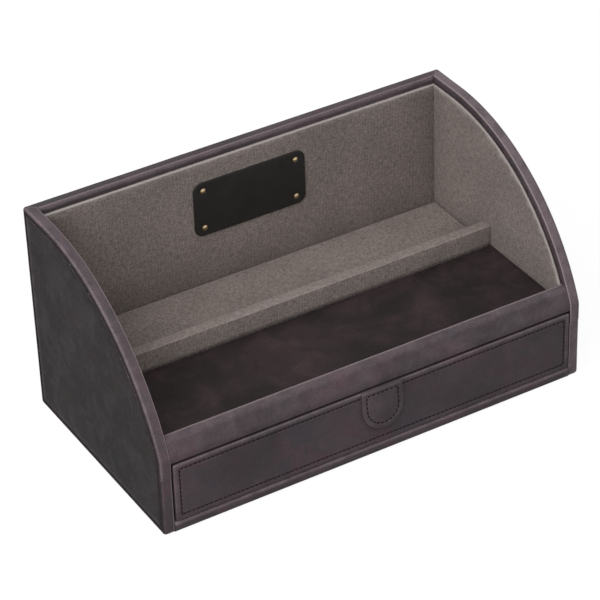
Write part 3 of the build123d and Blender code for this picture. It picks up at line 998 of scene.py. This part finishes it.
def cut_outlet(bm):
    """Open the round lead outlet in the back wall's outer face."""
    low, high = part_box("cord_grommet")
    centre, margin = (low + high) / 2, 0.004
    reach = (high.x - low.x) / 2 + margin
    for axis in (0, 2):
        slice_at(bm, axis, (centre[axis] - reach, centre[axis] + reach))

    def near_outlet(item, limit):
        place = middle(item)
        return max(abs(place.x - centre.x), abs(place.z - centre.z)) < limit

    window = [
        face for face in bm.faces if at(middle(face).y, case_back) and near_outlet(face, reach)
    ]
    window_edges = [edge for face in window for edge in face.edges]
    bmesh.ops.delete(bm, geom=window, context="FACES")
    sides = {edge for edge in window_edges if edge.is_valid and edge.is_boundary}
    bmesh.ops.subdivide_edges(bm, edges=list(sides), cuts=7)
    border = [
        edge for edge in edges_at(bm, 1, case_back)
        if edge.is_boundary and near_outlet(edge, reach + touch)
    ]
    radius = bpy.context.scene.organizer_case.outlet_radius
    place = Matrix.Translation((centre.x, case_back, centre.z)) @ Matrix.Rotation(pi / 2, 4, "X")
    made = bmesh.ops.create_circle(bm, segments=32, radius=radius, matrix=place)["verts"]
    circle = [edge for edge in bm.edges if all(vert in made for vert in edge.verts)]
    bmesh.ops.triangle_fill(bm, use_beauty=True, edges=border + circle, normal=(0.0, 1.0, 0.0))
    bmesh.ops.recalc_face_normals(bm, faces=bm.faces[:])


def make_sill_cover(scene):
    """Leather wrapped round the floor board's front edge."""
    sizes = scene.organizer_case
    corner, nose = sizes.corner_round, sizes.edge_round / 2
    bm = bmesh.new()
    vert = start_at(bm, (-inner_x, sill_back, 0.0))
    vert = line_to(bm, vert, (-inner_x, case_front + corner, 0.0))
    vert = arc_to(bm, vert, (-inner_x, case_front + corner, corner), -pi / 2, 5)
    vert = line_to(bm, vert, (-inner_x, case_front, sill_top - nose))
    vert = arc_to(bm, vert, (-inner_x, case_front + nose, sill_top - nose), -pi / 2, 4)
    vert = line_to(bm, vert, (-inner_x, sill_back, sill_top))
    made = bmesh.ops.extrude_edge_only(bm, edges=bm.edges[:])["geom"]
    move_new(bm, made, (2 * inner_x, 0.0, 0.0))
    bm.normal_update()
    if max(bm.faces, key=lambda face: middle(face).z).normal.z < 0.0:
        bmesh.ops.reverse_faces(bm, faces=bm.faces[:])
    slice_evenly(bm, 0, -inner_x, inner_x, pitch=0.006)
    slice_at(bm, 2, (0.6 * sill_top,))
    ripple(bm, sizes.waviness, reach=0.014, seed=21.0)

    def exposure(vert):
        # Painted shade on the top behind the nose, which lies under the drawer; the front gets
        # painted shade low down, towards the floor, and is rubbed paler towards the top.
        if vert.co.y > case_front + 1.2 * nose and vert.co.z > corner:
            return painted_gap_shade
        return min(0.8, 2.6 * vert.co.z / sill_top - 1.4)

    finish_leather("sill_cover", bm, exposure, "case", "sill_leather", wall=sizes.leather)


def make_rail_cover(scene):
    """Leather of the lip above the drawer, which leans back along the sides' curve."""
    sizes = scene.organizer_case
    radius, centre_z = rim_circle(sizes)
    radius -= sizes.rail_recess
    end_angle = pi - asin((rail_top - centre_z) / radius)
    bm = bmesh.new()
    vert = start_at(bm, (-inner_x, case_front + sizes.rail_recess, deck_under))
    vert = draw_rim(bm, sizes, -inner_x, sizes.rail_recess, vert, end_angle, 3)
    vert = line_to(bm, vert, (-inner_x, rail_back, rail_top))
    vert = line_to(bm, vert, (-inner_x, rail_back, deck_under))
    vert = line_to(bm, vert, (-inner_x, case_front + sizes.rail_recess, deck_under))
    thicken(bm, close_face(bm), (2 * inner_x, 0.0, 0.0))
    top_edges = [edge for edge in edges_at(bm, 2, rail_top) if span(edge, 0) > inner_x]
    front_edge = min(top_edges, key=lambda edge: middle(edge).y)
    round_edges(bm, [front_edge], sizes.rail_round)
    rear_edge = [edge for edge in edges_at(bm, 1, rail_back) if at(middle(edge).z, rail_top)]
    round_edges(bm, rear_edge, sizes.leather, segments=4)
    front_limit = case_front + sizes.edge_round
    low_edge = [edge for edge in edges_at(bm, 2, deck_under) if middle(edge).y < front_limit]
    round_edges(bm, low_edge, sizes.rail_low_round, segments=2)
    slice_evenly(bm, 0, -inner_x, inner_x, pitch=0.005)
    slice_at(bm, 1, (rail_back - 2.5 * sizes.leather,))
    ripple(bm, sizes.waviness, reach=0.018, seed=31.0)
    ripple(bm, sizes.waviness * 0.7, reach=0.006, seed=32.0)
    under_rail = deck_under + 0.0004

    def exposure(vert):
        # Painted shade on the lower edge over the drawer gap; the face is rubbed a little, the rear
        # top edge most.
        if vert.co.z < under_rail:
            return painted_gap_shade
        if vert.co.z < rail_top - sizes.rail_round:
            return 0.42
        return 1.5 if vert.co.y > rail_back - 1.5 * sizes.leather else 0.5

    finish_leather("front_rail_cover", bm, exposure, "case", "front_rail_leather")


def make_tray_mat(scene):
    """Leather mat that is the tray's floor, with its cut edges turned down a little."""
    sizes = scene.organizer_case
    low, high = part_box("tray_mat")
    bm = block(low, high)
    round_edges(bm, edges_at(bm, 2, high.z), sizes.leather * 0.6, segments=3)
    slice_grid(bm, (0, 1), low, high, pitch=0.006)
    ripple(bm, sizes.waviness * 1.6, reach=0.035, seed=41.0)
    mark_exposure(bm, unmarked)
    finish_piece("tray_mat_leather", bm, "tray_hide", "case", ("tray_mat",))


def painted_corner_shade(linings, vert, wall_gap):
    """Painted shade: -1 in a corner of the cavity, rising to 0 where the painted shade ends,
    wall_gap from a wall.
    """
    return min(0.0, min(vert.co.z - floor_height, wall_gap) / linings.shade_reach - 1.0)


def make_side_lining(scene, side):
    """Canvas over the card that lines one end. side is 1 on the right and -1 on the left.

    Behind the divider bar it runs down to the cleat that carries the platform.
    """
    sizes, linings = scene.organizer_case, scene.organizer_lining
    radius, centre_z = rim_circle(sizes)
    radius -= linings.step
    centre_y = case_back - sizes.rim_flat
    low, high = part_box("right_liner_canvas")
    ledge, bar_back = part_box("cleat_right")[1].z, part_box("divider_canvas")[1].y
    start_angle = pi - asin((rail_top - centre_z) / radius)
    tip = (centre_y + radius * cos(start_angle), rail_top)
    bm = bmesh.new()
    vert = start_at(bm, (liner_x, *tip))
    vert = arc_to(bm, vert, (liner_x, centre_y, centre_z), pi / 2 - start_angle, 44)
    for y, z in (
        (high.y, case_height - linings.step), (high.y, ledge), (bar_back, ledge),
        (bar_back, floor_height), (rail_back, floor_height), (rail_back, rail_top), tip,
    ):
        vert = line_to(bm, vert, (liner_x, y, z))
    thicken(bm, close_face(bm), (inner_x - liner_x, 0.0, 0.0))
    round_edges(bm, edges_at(bm, 0, liner_x), linings.card_round, segments=3)
    open_side(bm, 0, inner_x)
    slice_evenly(bm, 1, low.y, high.y, pitch=0.007)
    slice_evenly(bm, 2, ledge, liner_top, pitch=0.007)
    if side < 0:
        turn_left(bm)
    ripple(bm, linings.waviness, reach=0.016, seed=51.0 * side)

    def exposure(vert):
        rise, fold_width = vert.co.z - centre_z, 0.0009
        outline = hypot(vert.co.y - centre_y, rise) if vert.co.y < centre_y else rise
        fold = 1.4 - (radius - outline) / fold_width
        # Pale along the fold at the top; painted shade towards the platform and the back corner.
        return max(fold, 0.6 * painted_corner_shade(linings, vert, liner_back - vert.co.y))

    word = "right" if side > 0 else "left"
    finish_canvas(f"{word}_lining", bm, exposure, "case", f"{word}_liner_canvas", linings.canvas)


def make_back_lining(scene):
    """Canvas over the board that lines the back, down to the cleat that carries the platform."""
    linings = scene.organizer_lining
    low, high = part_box("back_liner_canvas")
    low.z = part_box("cleat_back")[1].z
    bm = block(low, high)
    folds = [edge for edge in edges_at(bm, 1, low.y) if middle(edge).z > low.z + touch]
    round_edges(bm, folds, linings.card_round * 2, segments=4)
    open_side(bm, 1, high.y)
    slice_evenly(bm, 0, low.x, high.x, pitch=0.008)
    slice_evenly(bm, 2, low.z, high.z, pitch=0.007)
    ripple(bm, linings.waviness, reach=0.018, seed=61.0)

    def exposure(vert):
        fold_width = 0.0011
        fold = 1.4 - (high.z - vert.co.z) / fold_width
        # Pale along the fold at the top; painted shade towards the platform and the side corners.
        return max(fold, painted_corner_shade(linings, vert, liner_x - abs(vert.co.x)))

    finish_canvas("back_lining", bm, exposure, "case", "back_liner_canvas", linings.canvas)


def make_divider_cover(scene):
    """Canvas over the top of the board behind the drawer: the divider bar."""
    linings = scene.organizer_lining
    low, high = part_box("divider_canvas")
    bm = block(low, high)
    long_edges = [edge for edge in edges_at(bm, 2, high.z) if span(edge, 0) > half_width]
    round_edges(bm, long_edges, linings.bar_round)
    ends = edges_at(bm, 0, low.x) + edges_at(bm, 0, high.x)
    round_edges(bm, ends, linings.canvas_fold, segments=2)
    open_side(bm, 2, low.z)
    slice_evenly(bm, 0, low.x, high.x, pitch=0.004)
    slice_at(bm, 2, (low.z + 0.004, low.z + 0.008))
    ripple(bm, linings.waviness * 1.2, reach=0.012, seed=71.0)
    ripple(bm, linings.waviness * 0.6, reach=0.004, seed=72.0)

    def exposure(vert):
        # Rubbed along the rounded edges; the top face is painted paler, partly wear and partly
        # painted light from above.
        return max(0.7 * edge_tilt(vert), 0.35 if vert.normal.z > 0.6 else 0.0)

    finish_canvas("divider_cover", bm, exposure, "case", "divider_canvas", linings.canvas)


def make_platform_cover(scene):
    """Canvas over the lift-out rear platform."""
    linings = scene.organizer_lining
    low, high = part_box("platform_canvas")
    bm = block(low, high)
    upright = [edge for edge in bm.edges if span(edge, 2) > touch]
    round_edges(bm, edges_at(bm, 2, high.z) + upright, linings.panel_round, segments=4)
    open_side(bm, 2, low.z)
    slice_grid(bm, (0, 1), low, high, pitch=0.006)
    ripple(bm, linings.waviness, reach=0.02, seed=81.0)
    finish_canvas(
        "platform_cover", bm, lambda vert: 0.5 * edge_tilt(vert), "platform", "platform_canvas",
        linings.canvas,
    )


def make_drawer_front(scene):
    """Leather over the drawer's front, with its sewn border."""
    sizes, sewing = scene.organizer_case, scene.organizer_stitch
    low, high = drawer_low, drawer_high
    bm = block(low, high)
    depthwise = [edge for edge in bm.edges if span(edge, 1) > touch]
    round_edges(bm, edges_at(bm, 1, low.y) + depthwise, sizes.drawer_round)
    inset = sewing.drawer_inset - sizes.drawer_round
    groove(bm, face_towards(bm, (0, -1, 0)), inset, sewing.groove_width, sewing.groove_depth)
    open_side(bm, 1, high.y)
    slice_grid(bm, (0, 2), low, high, pitch=0.006)
    ripple(bm, sizes.waviness, reach=0.02, seed=91.0)
    ripple(bm, sizes.waviness * 0.7, reach=0.006, seed=92.0)
    border_width = sewing.drawer_inset - sewing.groove_width / 2 + touch
    shaded_foot = low.z + 0.006

    def exposure(vert):
        # Painted shade in the bottom of the sewn groove.
        if vert.normal.y < -0.9 and vert.co.y > low.y + 0.7 * sewing.groove_depth:
            return -0.5
        # Painted shade on the sides that face the gap round the drawer.
        if vert.co.y > low.y + 0.8 * sizes.drawer_round:
            return painted_gap_shade
        reach = min(high.x - abs(vert.co.x), high.z - vert.co.z, vert.co.z - low.z)
        wear = max(edge_tilt(vert), 0.55 if reach < border_width else 0.25)
        # Painted shade on the foot and on faces that look down: they keep less of the rubbed tint.
        return wear if vert.normal.z > -0.2 and vert.co.z > shaded_foot else 0.4 * wear

    finish_leather(
        "drawer_front_cover", bm, exposure, "drawer", "drawer_front_leather", wall=sizes.leather,
    )


def make_drawer_lining(scene):
    """Canvas that lines the drawer's floor and walls."""
    linings = scene.organizer_lining
    low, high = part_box("drawer_lining")
    bm = block(low, high)
    open_side(bm, 2, high.z)
    folds = [edge for edge in bm.edges if not edge.is_boundary]
    round_edges(bm, folds, linings.panel_round * 1.5, segments=4)
    slice_grid(bm, range(3), low, high, pitch=0.01)
    ripple(bm, linings.waviness, reach=0.018, seed=101.0)
    # Pale along the top edge; lower down the canvas gets painted shade inside the drawer.
    finish_canvas(
        "drawer_lining_cloth", bm, lambda vert: 1.0 - (high.z - vert.co.z) / linings.drawer_card,
        "drawer", "drawer_lining", linings.drawer_card,
    )


def tab_bend(trim, point):
    """Bend the flat pull tab over the drawer's rounded top edge and out along its free flap."""
    top, nose = drawer_high.z, bpy.context.scene.organizer_case.drawer_round
    drop = joint_z - point.z
    if drop > trim.tab_bend:
        point.y -= tan(trim.tab_tilt) * (drop - trim.tab_bend / 2)
    elif drop > 0.0:
        point.y -= tan(trim.tab_tilt) * drop ** 2 / (2 * trim.tab_bend)
    rise = point.z - (top - nose)
    if rise > 0.0:
        point.y += nose - sqrt(max(0.0, nose ** 2 - rise ** 2))
    return point


def tab_outline(bm, trim, inset, y):
    """Draw the pull tab's outline in a plane facing the front, drawn in by inset."""
    half = (tab_high.x - tab_low.x) / 2 - inset
    top = drawer_high.z - inset
    centre_z = drawer_high.z - trim.tab_length + half + inset
    vert = start_at(bm, (tab_x + half, y, top))
    vert = line_to(bm, vert, (tab_x + half, y, centre_z))
    vert = arc_to(bm, vert, (tab_x, y, centre_z), pi, 28, axis=(0, 1, 0))
    vert = line_to(bm, vert, (tab_x - half, y, top))
    return line_to(bm, vert, (tab_x + half, y, top))


def make_pull_tab(scene):
    """The leather pull tab, sewn down at its top, with a free flap below."""
    trim, sewing = scene.organizer_trim, scene.organizer_stitch
    outer = drawer_low.y - trim.tab_leather
    bm = bmesh.new()
    tab_outline(bm, trim, 0.0, outer)
    thicken(bm, close_face(bm), (0.0, trim.tab_leather, 0.0))
    rims = [
        edge for edge in edges_at(bm, 1, outer) + edges_at(bm, 1, drawer_low.y)
        if middle(edge).z < drawer_high.z - touch
    ]
    round_edges(bm, rims, trim.tab_edge, segments=3)
    inset = sewing.tab_inset - trim.tab_edge
    groove(bm, face_towards(bm, (0, -1, 0)), inset, sewing.groove_width, sewing.groove_depth)
    slice_evenly(bm, 0, tab_low.x, tab_high.x, pitch=0.0025)
    slice_evenly(bm, 2, drawer_high.z - trim.tab_length, drawer_high.z, pitch=0.0012)
    for vert in bm.verts:
        vert.co = tab_bend(trim, vert.co)
    ripple(bm, trim.tab_waviness, reach=0.011, seed=111.0)

    def exposure(vert):
        return max(0.8 * edge_tilt(vert) if abs(vert.normal.y) < 0.95 else 0.0, 0.38)

    piece = finish_leather("pull_tab_leather", bm, exposure, "", "pull_tab_root", "pull_tab")
    blend_tab(piece)


def blend_tab(piece):
    """Bake the placement of a piece on the pull tab into its mesh."""
    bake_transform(piece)


def make_patch(scene):
    """The bare leather patch on the back lining, drawn in round its four rivets."""
    trim = scene.organizer_trim
    low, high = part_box("label_patch")
    size, centre = high - low, (high + low) / 2
    bm = bmesh.new()
    bmesh.ops.create_grid(bm, x_segments=1, y_segments=1, size=0.5)
    bmesh.ops.scale(bm, vec=(size.x, size.z, 1.0), verts=bm.verts[:])
    bmesh.ops.bevel(
        bm, geom=bm.verts[:], offset=trim.patch_round, segments=8, profile=0.5,
        affect="VERTICES", material=-1,
    )
    place = Matrix.Translation((centre.x, high.y, centre.z)) @ Matrix.Rotation(pi / 2, 4, "X")
    bmesh.ops.transform(bm, matrix=place, verts=bm.verts[:])
    thicken(bm, bm.faces[:][0], (0.0, -size.y, 0.0))
    round_edges(bm, edges_at(bm, 1, low.y), trim.patch_edge, segments=3)
    slice_grid(bm, (0, 2), low, high, pitch=0.0018)
    ripple(bm, trim.patch_waviness, reach=0.02, seed=121.0)
    places = rivet_places()
    for vert in bm.verts:
        if vert.co.y < centre.y:
            gap = min(hypot(vert.co.x - x, vert.co.z - z) for x, z in places)
            fall = max(0.0, 1.0 - gap / trim.dish_reach)
            vert.co.y += trim.rivet_dish * fall * fall * (3.0 - 2.0 * fall)
    mark_exposure(bm, lambda vert: 0.7 * edge_tilt(vert))
    finish_piece("patch_leather", bm, "patch_hide", "case", ("label_patch",))


def rivet_places():
    """Centres of the four rivets, as X and Z."""
    low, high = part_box("patch_rivets")
    head = bpy.context.scene.organizer_trim.rivet_head
    return [(x, z) for x in (low.x + head, high.x - head) for z in (low.z + head, high.z - head)]


def make_rivets(scene):
    """Four domed brass rivets through the patch."""
    trim = scene.organizer_trim
    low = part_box("patch_rivets")[0]
    ball = (trim.rivet_head ** 2 + trim.rivet_dome ** 2) / (2 * trim.rivet_dome)
    sweep = asin(trim.rivet_head / ball)
    seat = low.y + trim.rivet_dome
    bm = bmesh.new()
    for x, z in rivet_places():
        shape = bmesh.new()
        vert = start_at(shape, (x, seat - trim.rivet_dome, z))
        vert = arc_to(shape, vert, (x, seat - trim.rivet_dome + ball, z), sweep, 8, axis=(0, 0, 1))
        vert = line_to(shape, vert, vert.co + Vector((0.0, trim.rivet_rim, 0.0)))
        vert = line_to(shape, vert, (x, vert.co.y, z))
        bmesh.ops.spin(
            shape, geom=shape.verts[:] + shape.edges[:], cent=(x, seat, z), axis=(0, 1, 0),
            angle=2 * pi, steps=28, use_merge=True,
        )
        bmesh.ops.remove_doubles(shape, verts=shape.verts[:], dist=touch)
        bmesh.ops.recalc_face_normals(shape, faces=shape.faces[:])
        mesh = bpy.data.meshes.new("rivet")
        shape.to_mesh(mesh)
        shape.free()
        bm.from_mesh(mesh)
        bpy.data.meshes.remove(mesh)
    mark_exposure(bm, lambda vert: (seat - vert.co.y) / trim.rivet_dome)
    finish_piece("patch_rivet_heads", bm, "antique_brass", "case", ("patch_rivets",))


def make_base_felt(scene):
    """Felt sheet under the case."""
    sizes = scene.organizer_case
    low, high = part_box("base_felt")
    bm = block(low, high)
    round_edges(bm, edges_at(bm, 2, low.z), sizes.felt_round, segments=2)
    slice_grid(bm, (0, 1), low, high, pitch=0.01)
    ripple(bm, sizes.felt_waviness, reach=0.01, seed=131.0)
    mark_exposure(bm, unmarked)
    finish_piece("base_felt_sheet", bm, "felt", "case", ("base_felt",))


def even_places(path, pitch):
    """Places and directions at even steps along a path of points."""
    legs = [(end - start).length for start, end in zip(path, path[1:])]
    count = max(1, round(sum(legs) / pitch))
    step = sum(legs) / count
    places, leg, before = [], 0, 0.0
    for index in range(count):
        mark = (index + 0.5) * step
        while leg < len(legs) - 1 and mark > before + legs[leg]:
            before += legs[leg]
            leg += 1
        along = (path[leg + 1] - path[leg]).normalized()
        places.append((path[leg] + along * (mark - before), along))
    return places


def sew(bm, sewing, path, outward):
    """Lay a row of slanting stitches along a path in a groove that looks outward."""
    outward, slant, wander = Vector(outward), 0.12, 0.10
    sink = sewing.groove_depth * 0.75
    size = Matrix.Diagonal((sewing.thread / 2, sewing.thread * 0.4, sewing.stitch / 2, 1.0))
    for place, along in even_places([Vector(point) for point in path], sewing.pitch):
        across = outward.cross(along).normalized()
        along = (along + across * (slant + wander * noise.noise(place * 900.0))).normalized()
        across = outward.cross(along).normalized()
        turn = Matrix((across, outward, along)).transposed().to_4x4()
        seat = Matrix.Translation(place - outward * sink)
        bmesh.ops.create_uvsphere(
            bm, u_segments=6, v_segments=5, radius=1.0, matrix=seat @ turn @ size
        )


def finish_stitches(name, bm, body):
    """Make a bmesh of stitches a piece."""
    mark_exposure(bm, unmarked)
    return finish_piece(name, bm, "sewing_thread", body, crease=80.0)


def make_case_stitches(scene):
    """Rows sewn round the end walls and round the back."""
    sizes, sewing = scene.organizer_case, scene.organizer_stitch
    inset = sewing.case_inset
    for word, side in (("left", -1.0), ("right", 1.0)):
        bm = bmesh.new()
        sew(bm, sewing, side_outline(sizes, side * half_width, inset), (side, 0.0, 0.0))
        finish_stitches(f"{word}_side_stitches", bm, "case")
    bm = bmesh.new()
    x, top = half_width - inset, case_height - inset
    corners = [
        (across, case_back, up) for across, up in ((-x, inset), (x, inset), (x, top), (-x, top))
    ]
    for row in zip(corners, corners[1:] + corners[:1]):
        sew(bm, sewing, row, (0.0, 1.0, 0.0))
    finish_stitches("back_stitches", bm, "case")


def make_drawer_stitches(scene):
    """Border sewn round the drawer's front, beside the pull tab."""
    sewing = scene.organizer_stitch
    x = drawer_high.x - sewing.drawer_inset
    low, top = drawer_low.z + sewing.drawer_inset, drawer_high.z - sewing.drawer_inset
    bm = bmesh.new()
    for row in (
        ((-x, top), (tab_low.x, top)), ((tab_high.x, top), (x, top)), ((x, top), (x, low)),
        ((x, low), (-x, low)), ((-x, low), (-x, top)),
    ):
        sew(bm, sewing, [(across, drawer_low.y, up) for across, up in row], (0.0, -1.0, 0.0))
    finish_stitches("drawer_stitches", bm, "drawer")


def make_tab_stitches(scene):
    """The row sewn round the pull tab."""
    trim, sewing = scene.organizer_trim, scene.organizer_stitch
    shape = bmesh.new()
    tab_outline(shape, trim, sewing.tab_inset, drawer_low.y - trim.tab_leather)
    path = [vert.co.copy() for vert in shape.verts]
    shape.free()
    bm = bmesh.new()
    for row in (path[:-1], path[-2:]):
        sew(bm, sewing, row, (0.0, -1.0, 0.0))
    for vert in bm.verts:
        vert.co = tab_bend(trim, vert.co)
    blend_tab(finish_stitches("pull_tab_stitches", bm, ""))


def dress_boards():
    """Give the carried-over boards, strips, glides and grommet their materials."""
    for name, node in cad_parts.items():
        moulded = name.startswith(("drawer_glide", "cord_grommet"))
        node.data.materials.clear()
        node.data.materials.append(bpy.data.materials["moulded_plastic" if moulded else "board"])


def seen_rays(tree):
    """1 for rays from the camera and those that gloss or glass throws on, else 0."""
    path = add(tree, "LightPath", {}, {})
    seen = reckon(tree, "MAXIMUM", path["Is Camera Ray"], path["Is Glossy Ray"])
    return reckon(tree, "MAXIMUM", seen, path["Is Transmission Ray"])


def build_world(stage):
    """White to the camera and soft even light for the object."""
    world = bpy.data.worlds.new("studio")
    bpy.context.scene.world = world
    world.use_nodes = True
    tree = world.node_tree
    strength = fade(tree, seen_rays(tree), 0.0, 1.0, stage.ambient, 1.0)
    background = tree.nodes["Background"]
    background.inputs["Color"].default_value = (1.0, 1.0, 1.0, 1.0)
    tree.links.new(strength, background.inputs["Strength"])


def build_floor(stage):
    """A pale floor that keeps the object's shadow."""
    bm = bmesh.new()
    bmesh.ops.create_grid(bm, x_segments=2, y_segments=2, size=stage.floor_reach)
    drop, white_excess = 0.0002, 0.06
    bmesh.ops.translate(bm, verts=bm.verts[:], vec=(0.0, 0.0, -drop))
    mesh = bpy.data.meshes.new("floor")
    bm.to_mesh(mesh)
    bm.free()
    floor = bpy.data.objects.new("floor", mesh)
    bpy.context.scene.collection.objects.link(floor)
    material = bpy.data.materials.new("floor_white")
    material.use_nodes = True
    tree = material.node_tree
    tree.nodes.remove(tree.nodes["Principled BSDF"])
    shade = 1.0 - stage.glow
    dull = add(tree, "BsdfDiffuse", {}, {"Color": (stage.bounce,) * 3 + (1.0,)})[0]
    pale = add(tree, "BsdfDiffuse", {}, {"Color": (shade,) * 3 + (1.0,)})[0]
    lit = add(tree, "Emission", {}, {"Strength": stage.glow + white_excess})[0]
    white = add(tree, "AddShader", {}, {0: pale, 1: lit})[0]
    mixed = add(tree, "MixShader", {}, {0: seen_rays(tree), 1: dull, 2: white})[0]
    tree.links.new(mixed, tree.nodes["Material Output"].inputs["Surface"])
    mesh.materials.append(material)


def build_light(stage):
    """One large soft light over the front left of the object."""
    lamp = bpy.data.lights.new("top_light", "AREA")
    lamp.shape, lamp.size, lamp.energy = "SQUARE", stage.key_size, stage.key
    light = bpy.data.objects.new("top_light", lamp)
    bpy.context.scene.collection.objects.link(light)
    light.location = stage.key_place
    light.rotation_euler = (-Vector(stage.key_place)).to_track_quat("-Z", "Y").to_euler()
    light.visible_camera = False


def build_camera(stage):
    """The camera at the photograph's place and angle."""
    data = bpy.data.cameras.new("camera")
    data.lens, data.sensor_width = stage.lens, 36.0
    data.clip_start, data.clip_end = 0.05, 100.0
    camera = bpy.data.objects.new("camera", data)
    bpy.context.scene.collection.objects.link(camera)
    turn = Matrix.Rotation(stage.azimuth, 4, "Z")
    turn = turn @ Matrix.Rotation(pi / 2 - stage.elevation, 4, "X")
    turn = turn @ Matrix.Rotation(-stage.roll, 4, "Z")
    camera.matrix_world = Matrix.Translation(stage.camera) @ turn
    bpy.context.scene.camera = camera


class ORGANIZER_OT_finishes(bpy.types.Operator):
    """Make the materials and dress the carried-over boards with them"""

    bl_idname = "organizer.finishes"
    bl_label = "Finishes"
    bl_options = {"REGISTER", "UNDO"}

    def execute(self, context):
        build_finishes(context.scene)
        dress_boards()
        return {"FINISHED"}


class ORGANIZER_OT_case_leather(bpy.types.Operator):
    """Wrap the end walls, the back, the sill and the front rail in leather"""

    bl_idname = "organizer.case_leather"
    bl_label = "Case leather"
    bl_options = {"REGISTER", "UNDO"}

    def execute(self, context):
        make_side_cover(context.scene, -1)
        make_side_cover(context.scene, 1)
        make_back_cover(context.scene)
        make_sill_cover(context.scene)
        make_rail_cover(context.scene)
        return {"FINISHED"}


class ORGANIZER_OT_tray_mat(bpy.types.Operator):
    """Lay the leather mat in the tray and the felt under the case"""

    bl_idname = "organizer.tray_mat"
    bl_label = "Tray mat and felt"
    bl_options = {"REGISTER", "UNDO"}

    def execute(self, context):
        make_tray_mat(context.scene)
        make_base_felt(context.scene)
        return {"FINISHED"}


class ORGANIZER_OT_linings(bpy.types.Operator):
    """Line the ends and the back with canvas, and cover the divider bar"""

    bl_idname = "organizer.linings"
    bl_label = "Canvas linings"
    bl_options = {"REGISTER", "UNDO"}

    def execute(self, context):
        make_side_lining(context.scene, -1)
        make_side_lining(context.scene, 1)
        make_back_lining(context.scene)
        make_divider_cover(context.scene)
        return {"FINISHED"}


class ORGANIZER_OT_platform(bpy.types.Operator):
    """Cover the lift-out rear platform with canvas"""

    bl_idname = "organizer.platform"
    bl_label = "Rear platform"
    bl_options = {"REGISTER", "UNDO"}

    def execute(self, context):
        make_platform_cover(context.scene)
        return {"FINISHED"}


class ORGANIZER_OT_drawer(bpy.types.Operator):
    """Wrap the drawer's front in leather and line its box"""

    bl_idname = "organizer.drawer"
    bl_label = "Drawer"
    bl_options = {"REGISTER", "UNDO"}

    def execute(self, context):
        make_drawer_front(context.scene)
        make_drawer_lining(context.scene)
        return {"FINISHED"}


class ORGANIZER_OT_pull_tab(bpy.types.Operator):
    """Make the leather pull tab"""

    bl_idname = "organizer.pull_tab"
    bl_label = "Pull tab"
    bl_options = {"REGISTER", "UNDO"}

    def execute(self, context):
        make_pull_tab(context.scene)
        return {"FINISHED"}


class ORGANIZER_OT_patch(bpy.types.Operator):
    """Make the bare patch and its four rivets"""

    bl_idname = "organizer.patch"
    bl_label = "Patch and rivets"
    bl_options = {"REGISTER", "UNDO"}

    def execute(self, context):
        make_patch(context.scene)
        make_rivets(context.scene)
        return {"FINISHED"}


class ORGANIZER_OT_stitches(bpy.types.Operator):
    """Sew the rows of the case, the drawer and the pull tab"""

    bl_idname = "organizer.stitches"
    bl_label = "Stitches"
    bl_options = {"REGISTER", "UNDO"}

    def execute(self, context):
        make_case_stitches(context.scene)
        make_drawer_stitches(context.scene)
        make_tab_stitches(context.scene)
        return {"FINISHED"}


class ORGANIZER_OT_stage(bpy.types.Operator):
    """Set up the floor, the light and the camera"""

    bl_idname = "organizer.stage"
    bl_label = "Stage"
    bl_options = {"REGISTER", "UNDO"}

    def execute(self, context):
        stage = context.scene.organizer_stage
        context.scene.view_settings.view_transform = "Standard"
        build_world(stage)
        build_floor(stage)
        build_light(stage)
        build_camera(stage)
        return {"FINISHED"}


class ORGANIZER_PT_panel(bpy.types.Panel):
    """Lists the organizer's operators in the order in which they run"""

    bl_label = "Charging Station Organizer"
    bl_space_type = "VIEW_3D"
    bl_region_type = "UI"
    bl_category = "Organizer"

    def draw(self, context):
        for operator in operators:
            self.layout.operator(operator.bl_idname)


settings = {
    "organizer_case": CaseSettings,
    "organizer_lining": LiningSettings,
    "organizer_stitch": StitchSettings,
    "organizer_trim": TrimSettings,
    "organizer_finish": FinishSettings,
    "organizer_stage": StageSettings,
}
operators = (
    ORGANIZER_OT_finishes, ORGANIZER_OT_case_leather, ORGANIZER_OT_tray_mat, ORGANIZER_OT_linings,
    ORGANIZER_OT_platform, ORGANIZER_OT_drawer, ORGANIZER_OT_pull_tab, ORGANIZER_OT_patch,
    ORGANIZER_OT_stitches, ORGANIZER_OT_stage,
)


def register():
    """Register the property groups, the operators and the panel."""
    for name, group in settings.items():
        bpy.utils.register_class(group)
        setattr(bpy.types.Scene, name, PointerProperty(type=group))
    for kind in (*operators, ORGANIZER_PT_panel):
        bpy.utils.register_class(kind)


def unregister():
    """Take them all away again."""
    for kind in reversed((*operators, ORGANIZER_PT_panel)):
        bpy.utils.unregister_class(kind)
    for name, group in settings.items():
        delattr(bpy.types.Scene, name)
        bpy.utils.unregister_class(group)


def main():
    """Make the whole object and its stage."""
    register()
    for operator in operators:
        group, name = operator.bl_idname.split(".")
        getattr(getattr(bpy.ops, group), name)()


if __name__ == "__main__":
    main()
